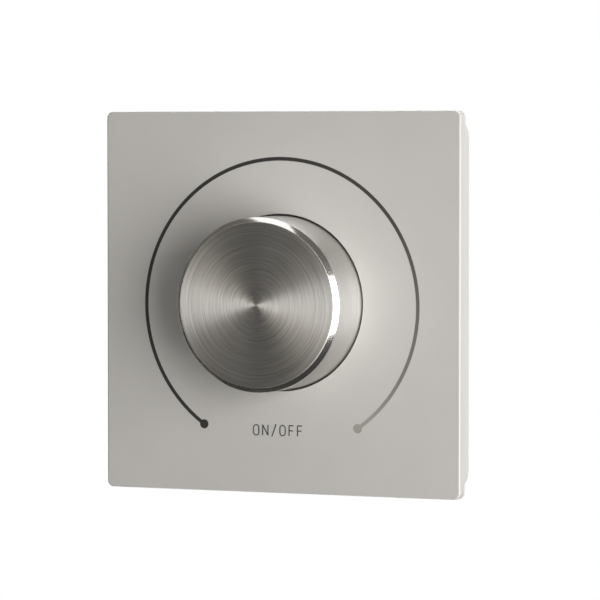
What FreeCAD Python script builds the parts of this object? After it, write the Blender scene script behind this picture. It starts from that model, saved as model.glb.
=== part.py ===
# Rotary dimmer switch with a push switch behind its knob, on a square wall plate.
#
# The origin is the middle of the wall plane, where the back of the mounting frame lies.
# X points right, Y into the wall and Z up. The knob's axis is the Y axis.
# Lengths are in millimetres and angles in degrees.

import FreeCAD, Part
import Sketcher

import math
import os

# Driving dimensions

SIZES = {
    # Front plate
    "plate_width": 86.0,
    "plate_height": 86.0,
    "plate_rim": 3.0,
    "plate_face": 1.6,
    "plate_wall": 1.5,
    "plate_corner": 1.5,
    "plate_edge": 0.4,
    "collar_wall": 1.2,
    "rib_height": 1.1,
    "rib_thick": 1.0,
    "embed": 0.3,
    # Scale engraved round the knob
    "scale_clear": 13.0,
    "scale_width": 0.85,
    "scale_depth": 0.2,
    "scale_drop": 0.67,
    "scale_open_angle": 34.5,
    "scale_dot_radius": 1.05,
    # Snap hooks of the plate
    "hook_place": 22.0,
    "hook_width": 8.0,
    "hook_thick": 1.1,
    "hook_barb": 0.5,
    "hook_inset": 0.8,
    "hook_gap": 0.15,
    "hook_short": 0.4,
    "barb_lead": 0.2,
    "barb_length": 0.4,
    # Knob
    "knob_radius": 19.5,
    "knob_reach": 14.0,
    "knob_chamfer": 1.2,
    "knob_wall": 1.0,
    "knob_face": 1.2,
    "knob_skirt": 2.5,
    "knob_gap": 0.5,
    "core_gap": 0.1,
    "core_wall": 1.4,
    "core_web": 1.6,
    "core_depth": 11.8,
    "core_rib": 1.4,
    "core_rib_short": 3.7,
    "hub_wall": 3.0,
    "hub_length": 10.3,
    "hub_ring_thick": 0.7,
    "hub_ring_width": 1.5,
    "hub_ring_inset": 0.8,
    # Shaft with its push travel
    "push_travel": 1.5,
    "shaft_radius": 3.0,
    "shaft_flat": 1.5,
    "shaft_tail_flat": 2.0,
    "shaft_clearance": 0.05,
    "shaft_front_gap": 0.2,
    "shaft_lead": 0.5,
    "clip_radius": 5.0,
    "clip_thick": 0.6,
    "clip_groove": 0.7,
    "clip_mouth": 3.9,
    "clip_gap": 0.2,
    "clip_land": 0.4,
    # Mounting frame
    "frame_inset": 0.5,
    "frame_corner": 5.5,
    "frame_depth": 4.0,
    "frame_floor": 2.0,
    "frame_wall": 1.5,
    "slot_spacing": 60.3,
    "slot_width": 4.4,
    "slot_length": 7.0,
    "slot_land": 1.4,
    "slot_land_height": 0.8,
    "ring_rib_gap": 1.6,
    "ring_rib_height": 1.0,
    "groove_depth": 0.5,
    "groove_gap": 0.1,
    # Potentiometer
    "bushing_radius": 5.0,
    "bushing_lead": 1.9,
    "bushing_flange": 6.5,
    "flange_thick": 1.0,
    "bushing_gap": 0.15,
    "bushing_chamfer": 0.4,
    "washer_thick": 0.6,
    "washer_radius": 7.6,
    "washer_gap": 0.6,
    "tooth_reach": 0.5,
    "tooth_width": 1.2,
    "nut_thick": 2.5,
    "nut_flats": 14.0,
    "nut_land": 0.2,
    "nut_chamfer": 1.0,
    "pot_radius": 12.0,
    "pot_wall": 1.0,
    "rotor_gap": 1.4,
    "rotor_thick": 1.4,
    "rotor_room": 0.5,
    "rotor_hub_wall": 1.4,
    "rotor_hub_gap": 0.1,
    "stop_lug": 2.4,
    "stop_height": 0.9,
    "stop_gap": 0.3,
    "stop_clearance": 0.42,
    "contact_thick": 0.3,
    "contact_room": 0.9,
    "contact_lift": 0.08,
    "finger_width": 1.6,
    "finger_tip": 0.5,
    "track_thick": 0.1,
    "track_inner_share": 0.42,
    "track_outer_share": 0.8,
    "track_open_angle": 30.0,
    "wafer_thick": 1.2,
    "wafer_tab": 2.0,
    "wafer_tab_half": 6.2,
    "pin_pitch": 5.0,
    "pin_inset": 1.1,
    "pin_foot": 1.8,
    "pin_foot_thick": 0.5,
    "pin_width": 1.0,
    "pin_thick": 0.6,
    # Push switch behind the potentiometer
    "switch_width": 20.0,
    "switch_height": 16.0,
    "switch_wall": 1.2,
    "switch_room": 6.2,
    "plunger_width": 9.0,
    "plunger_height": 7.0,
    "plunger_depth": 3.6,
    "plunger_gap": 0.5,
    "nose_gap": 0.35,
    "nose_length": 0.6,
    "spring_radius": 2.2,
    "spring_wire": 0.45,
    "spring_seat": 1.6,
    "spring_gap": 0.4,
    "bridge_half": 7.2,
    "bridge_height": 2.0,
    "bridge_thick": 0.4,
    "bridge_place": 2.9,
    "bridge_gap": 0.05,
    "contact_inset": 1.3,
    "contact_width": 2.0,
    "contact_leg": 1.4,
    "contact_leg_thick": 0.6,
    "contact_slot_gap": 0.1,
    # Circuit board
    "board_thick": 1.6,
    "board_clear": 0.9,
    "board_low_gap": 0.2,
    "board_post": 3.8,
    "board_boss_gap": 0.4,
    "board_post_radius": 2.3,
    "lead_out": 0.8,
    "lead_hole_gap": 0.2,
    # Housing behind the wall plane
    "side_room": 11.4,
    "housing_wall": 1.6,
    "housing_corner": 2.5,
    "housing_edge": 1.2,
    "boss_radius": 3.0,
    "boss_inset": 2.4,
    "vent_width": 1.6,
    "vent_length": 9.0,
    "vent_pitch": 3.6,
    "vent_rise": 2.0,
    # Screws
    "screw_radius": 1.25,
    "screw_head": 2.3,
    "screw_head_height": 1.4,
    "screw_length": 9.0,
    "screw_slot": 0.6,
    "screw_slot_depth": 0.8,
    "screw_cross": 3.0,
    "screw_edge": 0.5,
    "screw_gap": 0.2,
    "low_screw_gap": 0.25,
    "low_screw_rise": 0.8,
    "side_screw_out": 0.3,
    "side_screw_gap": 1.2,
    "high_screw_left": 5.5,
    "high_screw_inset": 3.4,
    # Interference choke
    "choke_radius": 6.8,
    "choke_height": 12.0,
    "choke_flange": 1.5,
    "choke_web": 3.0,
    "choke_gap": 0.7,
    "choke_bore": 0.8,
    "choke_wire": 0.5,
    # Capacitors and resistors
    "part_gap": 1.6,
    "film_thick": 6.0,
    "film_height": 12.5,
    "film_edge": 0.5,
    "film_gap": 1.4,
    "film_lead_inset": 1.5,
    "timing_radius": 3.1,
    "timing_height": 11.0,
    "timing_edge": 0.4,
    "timing_pitch": 2.5,
    "timing_wall_gap": 2.3,
    "timing_rise": 1.5,
    "resistor_radius": 1.15,
    "resistor_length": 6.3,
    "resistor_waist": 0.25,
    "resistor_pitch": 2.9,
    "resistor_lift": 0.3,
    "resistor_bend": 1.2,
    "resistor_inset": 4.0,
    "resistor_corner_gap": 1.2,
    "resistor_film_gap": 0.5,
    "lead_radius": 0.35,
    # Power switch and its heat sink
    "triac_width": 10.0,
    "triac_body": 8.6,
    "triac_thick": 3.1,
    "triac_right": 3.0,
    "triac_gap": 0.6,
    "triac_lift": 1.0,
    "triac_lead_inset": 1.2,
    "triac_pitch": 2.54,
    "triac_lead": 0.8,
    "triac_lead_thick": 0.5,
    "tab_length": 15.0,
    "tab_thick": 1.3,
    "tab_hole": 1.8,
    "tab_hole_place": 2.8,
    "sink_left": 2.3,
    "sink_boss_gap": 0.5,
    "sink_wall_gap": 0.4,
    "sink_thick": 1.5,
    "sink_fin": 1.0,
    "sink_pitch": 3.4,
    # Fuse
    "fuse_radius": 2.5,
    "fuse_glass": 0.6,
    "fuse_cap_length": 5.0,
    "fuse_cap_wall": 0.15,
    "clip_sheet": 0.5,
    "clip_flare": 0.8,
    "fuse_gap": 2.35,
    "fuse_lift": 1.9,
    "fuse_low_gap": 0.4,
    "fuse_high_gap": 1.0,
    # Wire terminals
    "pole_pitch": 9.2,
    "pole_half": 3.5,
    "block_side": 1.7,
    "block_gap": 2.6,
    "block_wall": 1.6,
    "block_front": 5.0,
    "cage_gap": 0.3,
    "cage_wall": 0.8,
    "cage_front_gap": 2.0,
    "cage_roof_gap": 1.8,
    "cage_roof": 1.0,
    "cage_lift": 3.0,
    "cage_end_gap": 0.5,
    "wire_way": 4.4,
    "bar_thick": 0.9,
    "bar_gap": 0.25,
    "bar_tail": 0.8,
    "bar_tail_inset": 1.0,
    "bar_tail_width": 1.6,
    "window_half": 2.6,
    "clamp_radius": 1.75,
    "clamp_head": 2.8,
    "clamp_head_height": 2.0,
    "clamp_gap": 0.3,
    "clamp_tip_gap": 0.1,
    "clamp_edge": 0.4,
    "clamp_slot": 0.9,
    "clamp_slot_depth": 1.0,
}


class Length:
    """A number together with the formula on the sheet that gives it."""

    def __init__(self, value, text):
        self.value = value
        self.text = text

    def __add__(self, other):
        other = as_length(other)
        return Length(self.value + other.value, "(%s + %s)" % (self.text, other.text))

    def __radd__(self, other):
        return as_length(other) + self

    def __sub__(self, other):
        other = as_length(other)
        return Length(self.value - other.value, "(%s - %s)" % (self.text, other.text))

    def __rsub__(self, other):
        return as_length(other) - self

    def __mul__(self, other):
        other = as_length(other)
        return Length(self.value * other.value, "(%s * %s)" % (self.text, other.text))

    def __rmul__(self, other):
        return as_length(other) * self

    def __truediv__(self, other):
        other = as_length(other)
        return Length(self.value / other.value, "(%s / %s)" % (self.text, other.text))

    def __neg__(self):
        return self * -1


def as_length(thing):
    if isinstance(thing, Length):
        return thing
    return Length(float(thing), "%r" % float(thing))


def sine(angle):
    return Length(math.sin(math.radians(angle.value)), "sin(%s * 1 deg)" % angle.text)


def cosine(angle):
    return Length(math.cos(math.radians(angle.value)), "cos(%s * 1 deg)" % angle.text)


def root(length):
    return Length(math.sqrt(length.value), "sqrt(%s)" % length.text)


class Sizes:
    """The driving dimensions as lengths that are bound to the sheet's cells."""

    def __init__(self, doc):
        sheet = doc.addObject("Spreadsheet::Sheet", "Sizes")
        for row, (name, value) in enumerate(SIZES.items(), start=1):
            sheet.set("A%d" % row, name)
            sheet.set("B%d" % row, "%r" % value)
            sheet.setAlias("B%d" % row, name)
            setattr(self, name, Length(value, "Sizes.%s" % name))


doc = FreeCAD.newDocument("dimmer")
size = Sizes(doc)
doc.recompute()


# Sketch helpers: every point and radius is bound to the sheet

def bind(thing, path, length):
    thing.setExpression(path, as_length(length).text)


def limit(sketch, length, kind, *where):
    length = as_length(length)
    index = sketch.addConstraint(Sketcher.Constraint(kind, *where, length.value))
    bind(sketch, "Constraints[%d]" % index, length)


def pin(sketch, geometry, point, across, up):
    limit(sketch, across, "DistanceX", -1, 1, geometry, point)
    limit(sketch, up, "DistanceY", -1, 1, geometry, point)


def spot(across, up):
    return FreeCAD.Vector(as_length(across).value, as_length(up).value, 0)


def polygon(sketch, points):
    count = len(points)
    first = sketch.GeometryCount
    for step in range(count):
        start = spot(*points[step])
        end = spot(*points[(step + 1) % count])
        sketch.addGeometry(Part.LineSegment(start, end), False)
    for step in range(count):
        here = first + step
        following = first + (step + 1) % count
        sketch.addConstraint(Sketcher.Constraint("Coincident", here, 2, following, 1))
    for step, point in enumerate(points):
        pin(sketch, first + step, 1, *point)


def rectangle(sketch, left, right, low, high):
    polygon(sketch, [(left, low), (right, low), (right, high), (left, high)])


def centred(sketch, across, up, width, height):
    across = as_length(across)
    up = as_length(up)
    width = as_length(width)
    height = as_length(height)
    rectangle(sketch, across - width / 2, across + width / 2, up - height / 2, up + height / 2)


def circle(sketch, across, up, radius):
    radius = as_length(radius)
    normal = FreeCAD.Vector(0, 0, 1)
    index = sketch.addGeometry(Part.Circle(spot(across, up), normal, radius.value), False)
    pin(sketch, index, 3, across, up)
    limit(sketch, radius, "Radius", index)


def long_hole(sketch, across, up, length, width):
    """A slot with round ends that runs across the sketch."""
    across = as_length(across)
    up = as_length(up)
    reach = (length - width) / 2
    radius = width / 2
    normal = FreeCAD.Vector(0, 0, 1)
    left = spot(across - reach, up)
    right = spot(across + reach, up)
    rise = FreeCAD.Vector(0, radius.value, 0)
    quarter = math.pi / 2
    left_arc = Part.ArcOfCircle(Part.Circle(left, normal, radius.value), quarter, 3 * quarter)
    right_arc = Part.ArcOfCircle(Part.Circle(right, normal, radius.value), -quarter, quarter)
    first = sketch.addGeometry(left_arc, False)
    sketch.addGeometry(Part.LineSegment(left - rise, right - rise), False)
    sketch.addGeometry(right_arc, False)
    sketch.addGeometry(Part.LineSegment(right + rise, left + rise), False)
    for step in range(4):
        here = first + step
        following = first + (step + 1) % 4
        sketch.addConstraint(Sketcher.Constraint("Tangent", here, 2, following, 1))
    pin(sketch, first, 3, across - reach, up)
    pin(sketch, first + 2, 3, across + reach, up)
    limit(sketch, radius, "Radius", first)


def rounded(sketch, width, height, corner):
    """A rectangle round the origin whose corners are arcs."""
    width = as_length(width)
    height = as_length(height)
    corner = as_length(corner)
    normal = FreeCAD.Vector(0, 0, 1)
    quarter = math.pi / 2
    across = width / 2 - corner
    up = height / 2 - corner
    centres = [(across, up), (-across, up), (-across, -up), (across, -up)]
    first = sketch.GeometryCount
    arcs = []
    for step, centre in enumerate(centres):
        around = Part.Circle(spot(*centre), normal, corner.value)
        arcs.append(Part.ArcOfCircle(around, step * quarter, (step + 1) * quarter))
    for step in range(4):
        sketch.addGeometry(arcs[step], False)
        side = Part.LineSegment(arcs[step].EndPoint, arcs[(step + 1) % 4].StartPoint)
        sketch.addGeometry(side, False)
    for step in range(8):
        here = first + step
        following = first + (step + 1) % 8
        sketch.addConstraint(Sketcher.Constraint("Tangent", here, 2, following, 1))
    for step, centre in enumerate(centres):
        pin(sketch, first + 2 * step, 3, *centre)
        limit(sketch, corner, "Radius", first + 2 * step)


def flatted_circle(sketch, radius, flat):
    """A circle round the origin whose top is cut off straight at the height flat."""
    radius = as_length(radius)
    flat = as_length(flat)
    normal = FreeCAD.Vector(0, 0, 1)
    angle = math.asin(flat.value / radius.value)
    around = Part.Circle(FreeCAD.Vector(0, 0, 0), normal, radius.value)
    arc = Part.ArcOfCircle(around, math.pi - angle, 2 * math.pi + angle)
    first = sketch.addGeometry(arc, False)
    half = math.sqrt(radius.value ** 2 - flat.value ** 2)
    right = FreeCAD.Vector(half, flat.value, 0)
    left = FreeCAD.Vector(-half, flat.value, 0)
    sketch.addGeometry(Part.LineSegment(right, left), False)
    sketch.addConstraint(Sketcher.Constraint("Coincident", first, 2, first + 1, 1))
    sketch.addConstraint(Sketcher.Constraint("Coincident", first + 1, 2, first, 1))
    sketch.addConstraint(Sketcher.Constraint("Coincident", first, 3, -1, 1))
    sketch.addConstraint(Sketcher.Constraint("Horizontal", first + 1))
    limit(sketch, radius, "Radius", first)
    limit(sketch, flat, "DistanceY", -1, 1, first + 1, 1)


def arc_band(sketch, drop, inner, outer, open_angle):
    """A band round a point below the origin, open at the bottom by open_angle each way."""
    normal = FreeCAD.Vector(0, 0, 1)
    centre = FreeCAD.Vector(0, -drop.value, 0)
    opening = math.radians(open_angle.value)
    start = opening - math.pi / 2
    end = 3 * math.pi / 2 - opening
    outer_arc = Part.ArcOfCircle(Part.Circle(centre, normal, outer.value), start, end)
    inner_arc = Part.ArcOfCircle(Part.Circle(centre, normal, inner.value), start, end)
    wide = sketch.addGeometry(outer_arc, False)
    narrow = sketch.addGeometry(inner_arc, False)
    for point in (1, 2):
        begin = outer_arc.StartPoint if point == 1 else outer_arc.EndPoint
        finish = inner_arc.StartPoint if point == 1 else inner_arc.EndPoint
        end_line = sketch.addGeometry(Part.LineSegment(begin, finish), False)
        sketch.addConstraint(Sketcher.Constraint("Coincident", wide, point, end_line, 1))
        sketch.addConstraint(Sketcher.Constraint("Coincident", narrow, point, end_line, 2))
        side = 1 if point == 1 else -1
        limit(sketch, side * outer * sine(open_angle), "DistanceX", -1, 1, wide, point)
        limit(sketch, side * inner * sine(open_angle), "DistanceX", -1, 1, narrow, point)
    for arc, radius in ((wide, outer), (narrow, inner)):
        pin(sketch, arc, 3, 0, -drop)
        limit(sketch, radius, "Radius", arc)


# Feature helpers: front and back are places on the Y axis, front being nearer to the room

def new_body(name):
    body = doc.addObject("PartDesign::Body", "Body_" + name)
    body.Label = name
    return body


def origin_feature(body, role):
    for feature in body.Origin.OriginFeatures:
        if feature.Role == role:
            return feature
    raise ValueError("no %s in %s" % (role, body.Label))


def new_sketch(body, name, plane, offset, draw):
    sketch = body.newObject("Sketcher::SketchObject", name + "Sketch")
    sketch.AttachmentSupport = [(origin_feature(body, plane), "")]
    sketch.MapMode = "FlatFace"
    bind(sketch, "AttachmentOffset.Base.z", offset)
    draw(sketch)
    return sketch


def extrude(body, kind, name, plane, offset, length, draw):
    feature = body.newObject("PartDesign::" + kind, name)
    feature.Profile = new_sketch(body, name, plane, offset, draw)
    bind(feature, "Length", length)
    return feature


def pad(body, name, front, back, draw):
    """Material from y = front to y = back, with draw giving x and z."""
    front = as_length(front)
    back = as_length(back)
    return extrude(body, "Pad", name, "XZ_Plane", -back, back - front, draw)


def pocket(body, name, front, back, draw):
    """A cut from y = front to y = back, with draw giving x and z."""
    front = as_length(front)
    back = as_length(back)
    return extrude(body, "Pocket", name, "XZ_Plane", -front, back - front, draw)


def pad_up(body, name, low, high, draw):
    """Material from z = low to z = high, with draw giving x and y."""
    low = as_length(low)
    high = as_length(high)
    return extrude(body, "Pad", name, "XY_Plane", low, high - low, draw)


def pocket_up(body, name, low, high, draw):
    """A cut from z = low to z = high, with draw giving x and y."""
    low = as_length(low)
    high = as_length(high)
    return extrude(body, "Pocket", name, "XY_Plane", high, high - low, draw)


def pad_across(body, name, left, right, draw):
    """Material from x = left to x = right, with draw giving y and z."""
    left = as_length(left)
    right = as_length(right)
    return extrude(body, "Pad", name, "YZ_Plane", left, right - left, draw)


def turn(body, name, points, kind="Revolution"):
    """A form turned about the Y axis, from points given as radius and y."""
    feature = body.newObject("PartDesign::" + kind, name)
    sketch = new_sketch(body, name, "XY_Plane", 0, lambda drawing: polygon(drawing, points))
    feature.Profile = sketch
    feature.ReferenceAxis = (sketch, ["V_Axis"])
    feature.Angle = 360
    return feature


def turn_up(body, name, points):
    """A form turned about a line along the Z axis, from points given as y and z."""
    feature = body.newObject("PartDesign::Revolution", name)
    sketch = new_sketch(body, name, "YZ_Plane", 0, lambda drawing: polygon(drawing, points))
    feature.Profile = sketch
    feature.ReferenceAxis = (sketch, ["V_Axis"])
    feature.Angle = 360
    return feature


def fillet(body, name, base, radius, chosen, kind="Fillet"):
    """Round the edges of base that chosen picks, or chamfer them."""
    doc.recompute()
    edges = []
    for index, edge in enumerate(base.Shape.Edges, start=1):
        if chosen(edge):
            edges.append("Edge%d" % index)
    feature = body.newObject("PartDesign::" + kind, name)
    feature.Base = (base, edges)
    bind(feature, "Radius" if kind == "Fillet" else "Size", radius)
    return feature


def polar(body, name, feature, count):
    pattern = body.newObject("PartDesign::PolarPattern", name)
    pattern.Originals = [feature]
    pattern.Axis = (origin_feature(body, "Y_Axis"), [""])
    pattern.Angle = 360
    pattern.Occurrences = count
    body.Tip = pattern
    return pattern


def row(body, name, feature, axis, span, count):
    pattern = body.newObject("PartDesign::LinearPattern", name)
    pattern.Originals = [feature]
    pattern.Direction = (origin_feature(body, axis), [""])
    bind(pattern, "Length", span)
    pattern.Occurrences = count
    body.Tip = pattern
    return pattern


def place(body, x=0, y=0, z=0):
    for path, length in (("x", x), ("y", y), ("z", z)):
        bind(body, "Placement.Base." + path, length)


def group(name, bodies):
    """Several equal pieces that share one node."""
    compound = doc.addObject("Part::Compound", name)
    compound.Label = name
    compound.Links = bodies
    return compound


def runs_back(edge):
    """Whether an edge is straight and runs along the Y axis."""
    return isinstance(edge.Curve, Part.Line) and edge.BoundBox.YLength > edge.Length - 1e-6


def at_height(edge, y):
    box = edge.BoundBox
    return abs(box.YMin - y.value) < 1e-4 and abs(box.YMax - y.value) < 1e-4


# Places along the Y axis, worked out from the wall plane towards the room and into the wall

frame_front = -size.frame_depth
floor_front = -size.frame_floor
plate_back = frame_front
plate_front = plate_back - size.plate_rim
plate_inside = plate_front + size.plate_face
knob_front = plate_front - size.knob_reach
knob_back = plate_front + size.knob_skirt
shell_inside = knob_front + size.knob_face
core_inside = shell_inside + size.core_web
hub_back = shell_inside + size.hub_length
shaft_front = core_inside + size.shaft_front_gap

washer_front = floor_front - size.washer_thick
nut_front = washer_front - size.nut_thick
bushing_front = nut_front - size.bushing_lead
flange_back = size.pot_wall + size.flange_thick
clip_front = flange_back + size.clip_gap
clip_back = clip_front + size.clip_thick
rotor_front = clip_back + size.push_travel + size.rotor_room
rotor_back = rotor_front + size.rotor_thick
track_front = rotor_back + size.contact_room
wafer_front = track_front + size.track_thick
wafer_back = wafer_front + size.wafer_thick

cover_back = wafer_back + size.switch_wall
plunger_front = wafer_back + size.plunger_gap
shaft_back = plunger_front - size.shaft_clearance
block_front = cover_back + size.nose_length
block_back = block_front + size.plunger_depth
spring_front = block_back - size.spring_seat
switch_floor = cover_back + size.switch_room
board_front = switch_floor + size.switch_wall
board_back = board_front + size.board_thick
lead_end = board_back + size.lead_out
housing_floor = board_back + size.board_post
housing_back = housing_floor + size.housing_wall

bridge_back = block_front + size.bridge_place
fixed_front = bridge_back + size.push_travel + size.bridge_gap
triac_back = board_front - size.triac_lift
tab_front = triac_back - size.tab_length
sink_screw_y = tab_front + size.tab_hole_place

# Radii in the potentiometer, and the half width of its end stop

rotor_radius = size.pot_radius - size.pot_wall - size.rotor_gap
rotor_hub = size.shaft_radius + size.shaft_clearance + size.rotor_hub_wall
track_inner = rotor_hub + size.track_inner_share * (rotor_radius - rotor_hub)
track_outer = rotor_hub + size.track_outer_share * (rotor_radius - rotor_hub)
stop_radius = rotor_radius + size.stop_gap
lug_half = size.stop_lug / 2
stop_half = (stop_radius * sine(size.scale_open_angle)
             - lug_half * cosine(size.scale_open_angle) - size.stop_clearance)

# Places across the housing

inner_half = size.pot_radius + size.side_room
outer_half = inner_half + size.housing_wall
boss_place = inner_half - size.boss_inset
board_half = inner_half - size.board_clear
block_top = -(size.pot_radius + size.block_gap)
board_low = block_top + size.board_low_gap
fixed_x = size.bridge_half - size.contact_inset
fixed_z = -(size.plunger_height / 2 + size.bridge_height / 2)
choke_place = (size.pot_radius + size.choke_gap + size.choke_radius) / root(as_length(2))
film_x = size.pot_radius + size.part_gap + size.film_thick / 2
timing_x = inner_half - size.timing_radius - size.timing_wall_gap
timing_z = size.timing_rise - size.pot_radius
tab_top = size.pot_radius + size.wafer_tab
pin_z = tab_top - size.pin_inset
triac_x = size.triac_right
triac_low = tab_top + size.triac_gap
triac_lead_z = triac_low + size.triac_lead_inset
sink_right = boss_place - size.boss_radius - size.sink_boss_gap
tab_low = triac_low + size.triac_thick
sink_low = tab_low + size.tab_thick
fin_low = sink_low + size.sink_thick
fin_high = inner_half - size.sink_wall_gap
clip_reach = size.fuse_radius + size.fuse_cap_wall + size.clip_sheet
fuse_x = -(size.pot_radius + clip_reach + size.fuse_gap)
fuse_y = board_front - size.fuse_radius - size.fuse_lift
fuse_low = board_low + size.fuse_low_gap
fuse_high = choke_place - size.choke_radius - size.fuse_high_gap
fuse_length = fuse_high - fuse_low
fuse_z = (fuse_low + fuse_high) / 2
hole_radius = size.knob_radius + size.knob_gap
scale_radius = hole_radius + size.scale_clear

housing_screw_places = [(side * boss_place, up * boss_place) for side in (-1, 1) for up in (-1, 1)]
low_screw_x = -fuse_x - clip_reach - size.screw_head - size.low_screw_gap
low_screw_z = size.low_screw_rise - size.pot_radius
side_screw_z = size.switch_height / 2 + size.screw_head + size.side_screw_gap
board_screw_places = [
    (-low_screw_x, low_screw_z),
    (low_screw_x, low_screw_z),
    (size.pot_radius + size.side_screw_out, side_screw_z),
    (-size.high_screw_left, inner_half - size.high_screw_inset),
]
boss_room = 2 * boss_place - root(as_length(2)) * (size.boss_radius + size.board_boss_gap)
board_corner = 2 * board_half - boss_room
resistor_x = inner_half - size.resistor_inset
resistor_reach = size.resistor_length / 2 + size.resistor_bend
resistor_z = boss_room - size.resistor_corner_gap - resistor_x - resistor_reach
film_low = timing_z + size.timing_radius + size.film_gap
film_high = resistor_z - resistor_reach - size.lead_radius - size.resistor_film_gap
film_leads = [(film_x, film_low + size.film_lead_inset), (film_x, film_high - size.film_lead_inset)]
timing_leads = [(timing_x + side * size.timing_pitch / 2, timing_z) for side in (-1, 1)]
resistor_leads = [
    (resistor_x - index * size.resistor_pitch, resistor_z + side * resistor_reach)
    for index in (0, 1)
    for side in (-1, 1)
]
triac_lead_places = [
    (triac_x + column * size.triac_pitch, triac_lead_z) for column in (-1, 0, 1)
]

# Places in the wire terminals

cage_bottom = size.block_front + size.block_wall + size.cage_front_gap
way_low = cage_bottom + size.cage_wall
bar_front = way_low + size.wire_way
bar_back = bar_front + size.bar_thick
cage_roof = bar_back + size.cage_roof_gap
cage_top = cage_roof + size.cage_roof
cell_back = cage_top + size.cage_lift + size.cage_gap
clamp_head_front = cell_back + size.clamp_gap
cell_low = -inner_half
cell_high = block_top - size.block_wall
clamp_z = (cell_low + cell_high) / 2
cage_half_width = size.pole_half - size.cage_gap
cage_half_length = (cell_high - cell_low) / 2 - size.cage_end_gap
pole_places = [column * size.pole_pitch for column in (-1, 0, 1)]
cage_inner = cage_half_width - size.cage_wall
bar_width = 2 * (cage_inner - size.bar_gap)
tail_z = block_top + size.bar_tail_inset
clamp_tip = bar_back + size.clamp_tip_gap

# Counts of equal features

core_ribs = 6
washer_teeth = 8
spring_turns = 3
winding_turns = 9
sink_fins = 4
vents = 6


def front_plate():
    """The square plate: thin face, rim, collar round the knob, ribs and four hooks."""
    body = new_body("front_plate")
    half_height = size.plate_height / 2
    block = pad(body, "Block", plate_front, plate_back,
                lambda s: rounded(s, size.plate_width, size.plate_height, size.plate_corner))
    fillet(body, "FrontEdge", block, size.plate_edge, lambda edge: at_height(edge, plate_front))
    inner_width = size.plate_width - 2 * size.plate_wall
    inner_height = size.plate_height - 2 * size.plate_wall
    pocket(body, "Hollow", plate_inside, plate_back,
           lambda s: centred(s, 0, 0, inner_width, inner_height))
    rib_back = plate_inside + size.rib_height
    pad(body, "Collar", plate_inside, rib_back,
        lambda s: circle(s, 0, 0, hole_radius + size.collar_wall))
    start = hole_radius + size.collar_wall / 2
    for side in (-1, 1):
        far_x = side * (inner_width / 2 + size.embed)
        far_z = side * (inner_height / 2 + size.embed)
        near = side * start
        thick = size.rib_thick
        pad(body, "RibAcross%d" % (side + 1), plate_inside, rib_back,
            lambda s: centred(s, (near + far_x) / 2, 0, (far_x - near) * side, thick))
        pad(body, "RibUp%d" % (side + 1), plate_inside, rib_back,
            lambda s: centred(s, 0, (near + far_z) / 2, thick, (far_z - near) * side))
    hook_high = half_height - size.plate_wall - size.hook_inset
    hook_low = hook_high - size.hook_thick
    barb_low = hook_low - size.hook_barb
    hook_end = -size.hook_short
    barb_back = hook_end - size.barb_lead
    barb_front = barb_back - size.barb_length
    for side in (-1, 1):
        for up in (-1, 1):
            middle = side * size.hook_place
            profile = [
                (plate_inside - size.embed, up * hook_high),
                (hook_end, up * hook_high),
                (hook_end, up * hook_low),
                (barb_back, up * barb_low),
                (barb_front, up * barb_low),
                (barb_front, up * hook_low),
                (plate_inside - size.embed, up * hook_low),
            ]
            pad_across(body, "Hook%d%d" % (side + 1, up + 1), middle - size.hook_width / 2,
                       middle + size.hook_width / 2, lambda s: polygon(s, profile))
    pocket(body, "KnobHole", plate_front, plate_back,
           lambda s: circle(s, 0, 0, hole_radius))
    inner = scale_radius - size.scale_width / 2
    outer = scale_radius + size.scale_width / 2
    groove_back = plate_front + size.scale_depth
    pocket(body, "ScaleArc", plate_front, groove_back,
           lambda s: arc_band(s, size.scale_drop, inner, outer, size.scale_open_angle))
    for side in (-1, 1):
        dot_x = side * scale_radius * sine(size.scale_open_angle)
        dot_z = -size.scale_drop - scale_radius * cosine(size.scale_open_angle)
        pocket(body, "ScaleDot%d" % (side + 1), plate_front, groove_back,
               lambda s: circle(s, dot_x, dot_z, size.scale_dot_radius))
    return body


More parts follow.
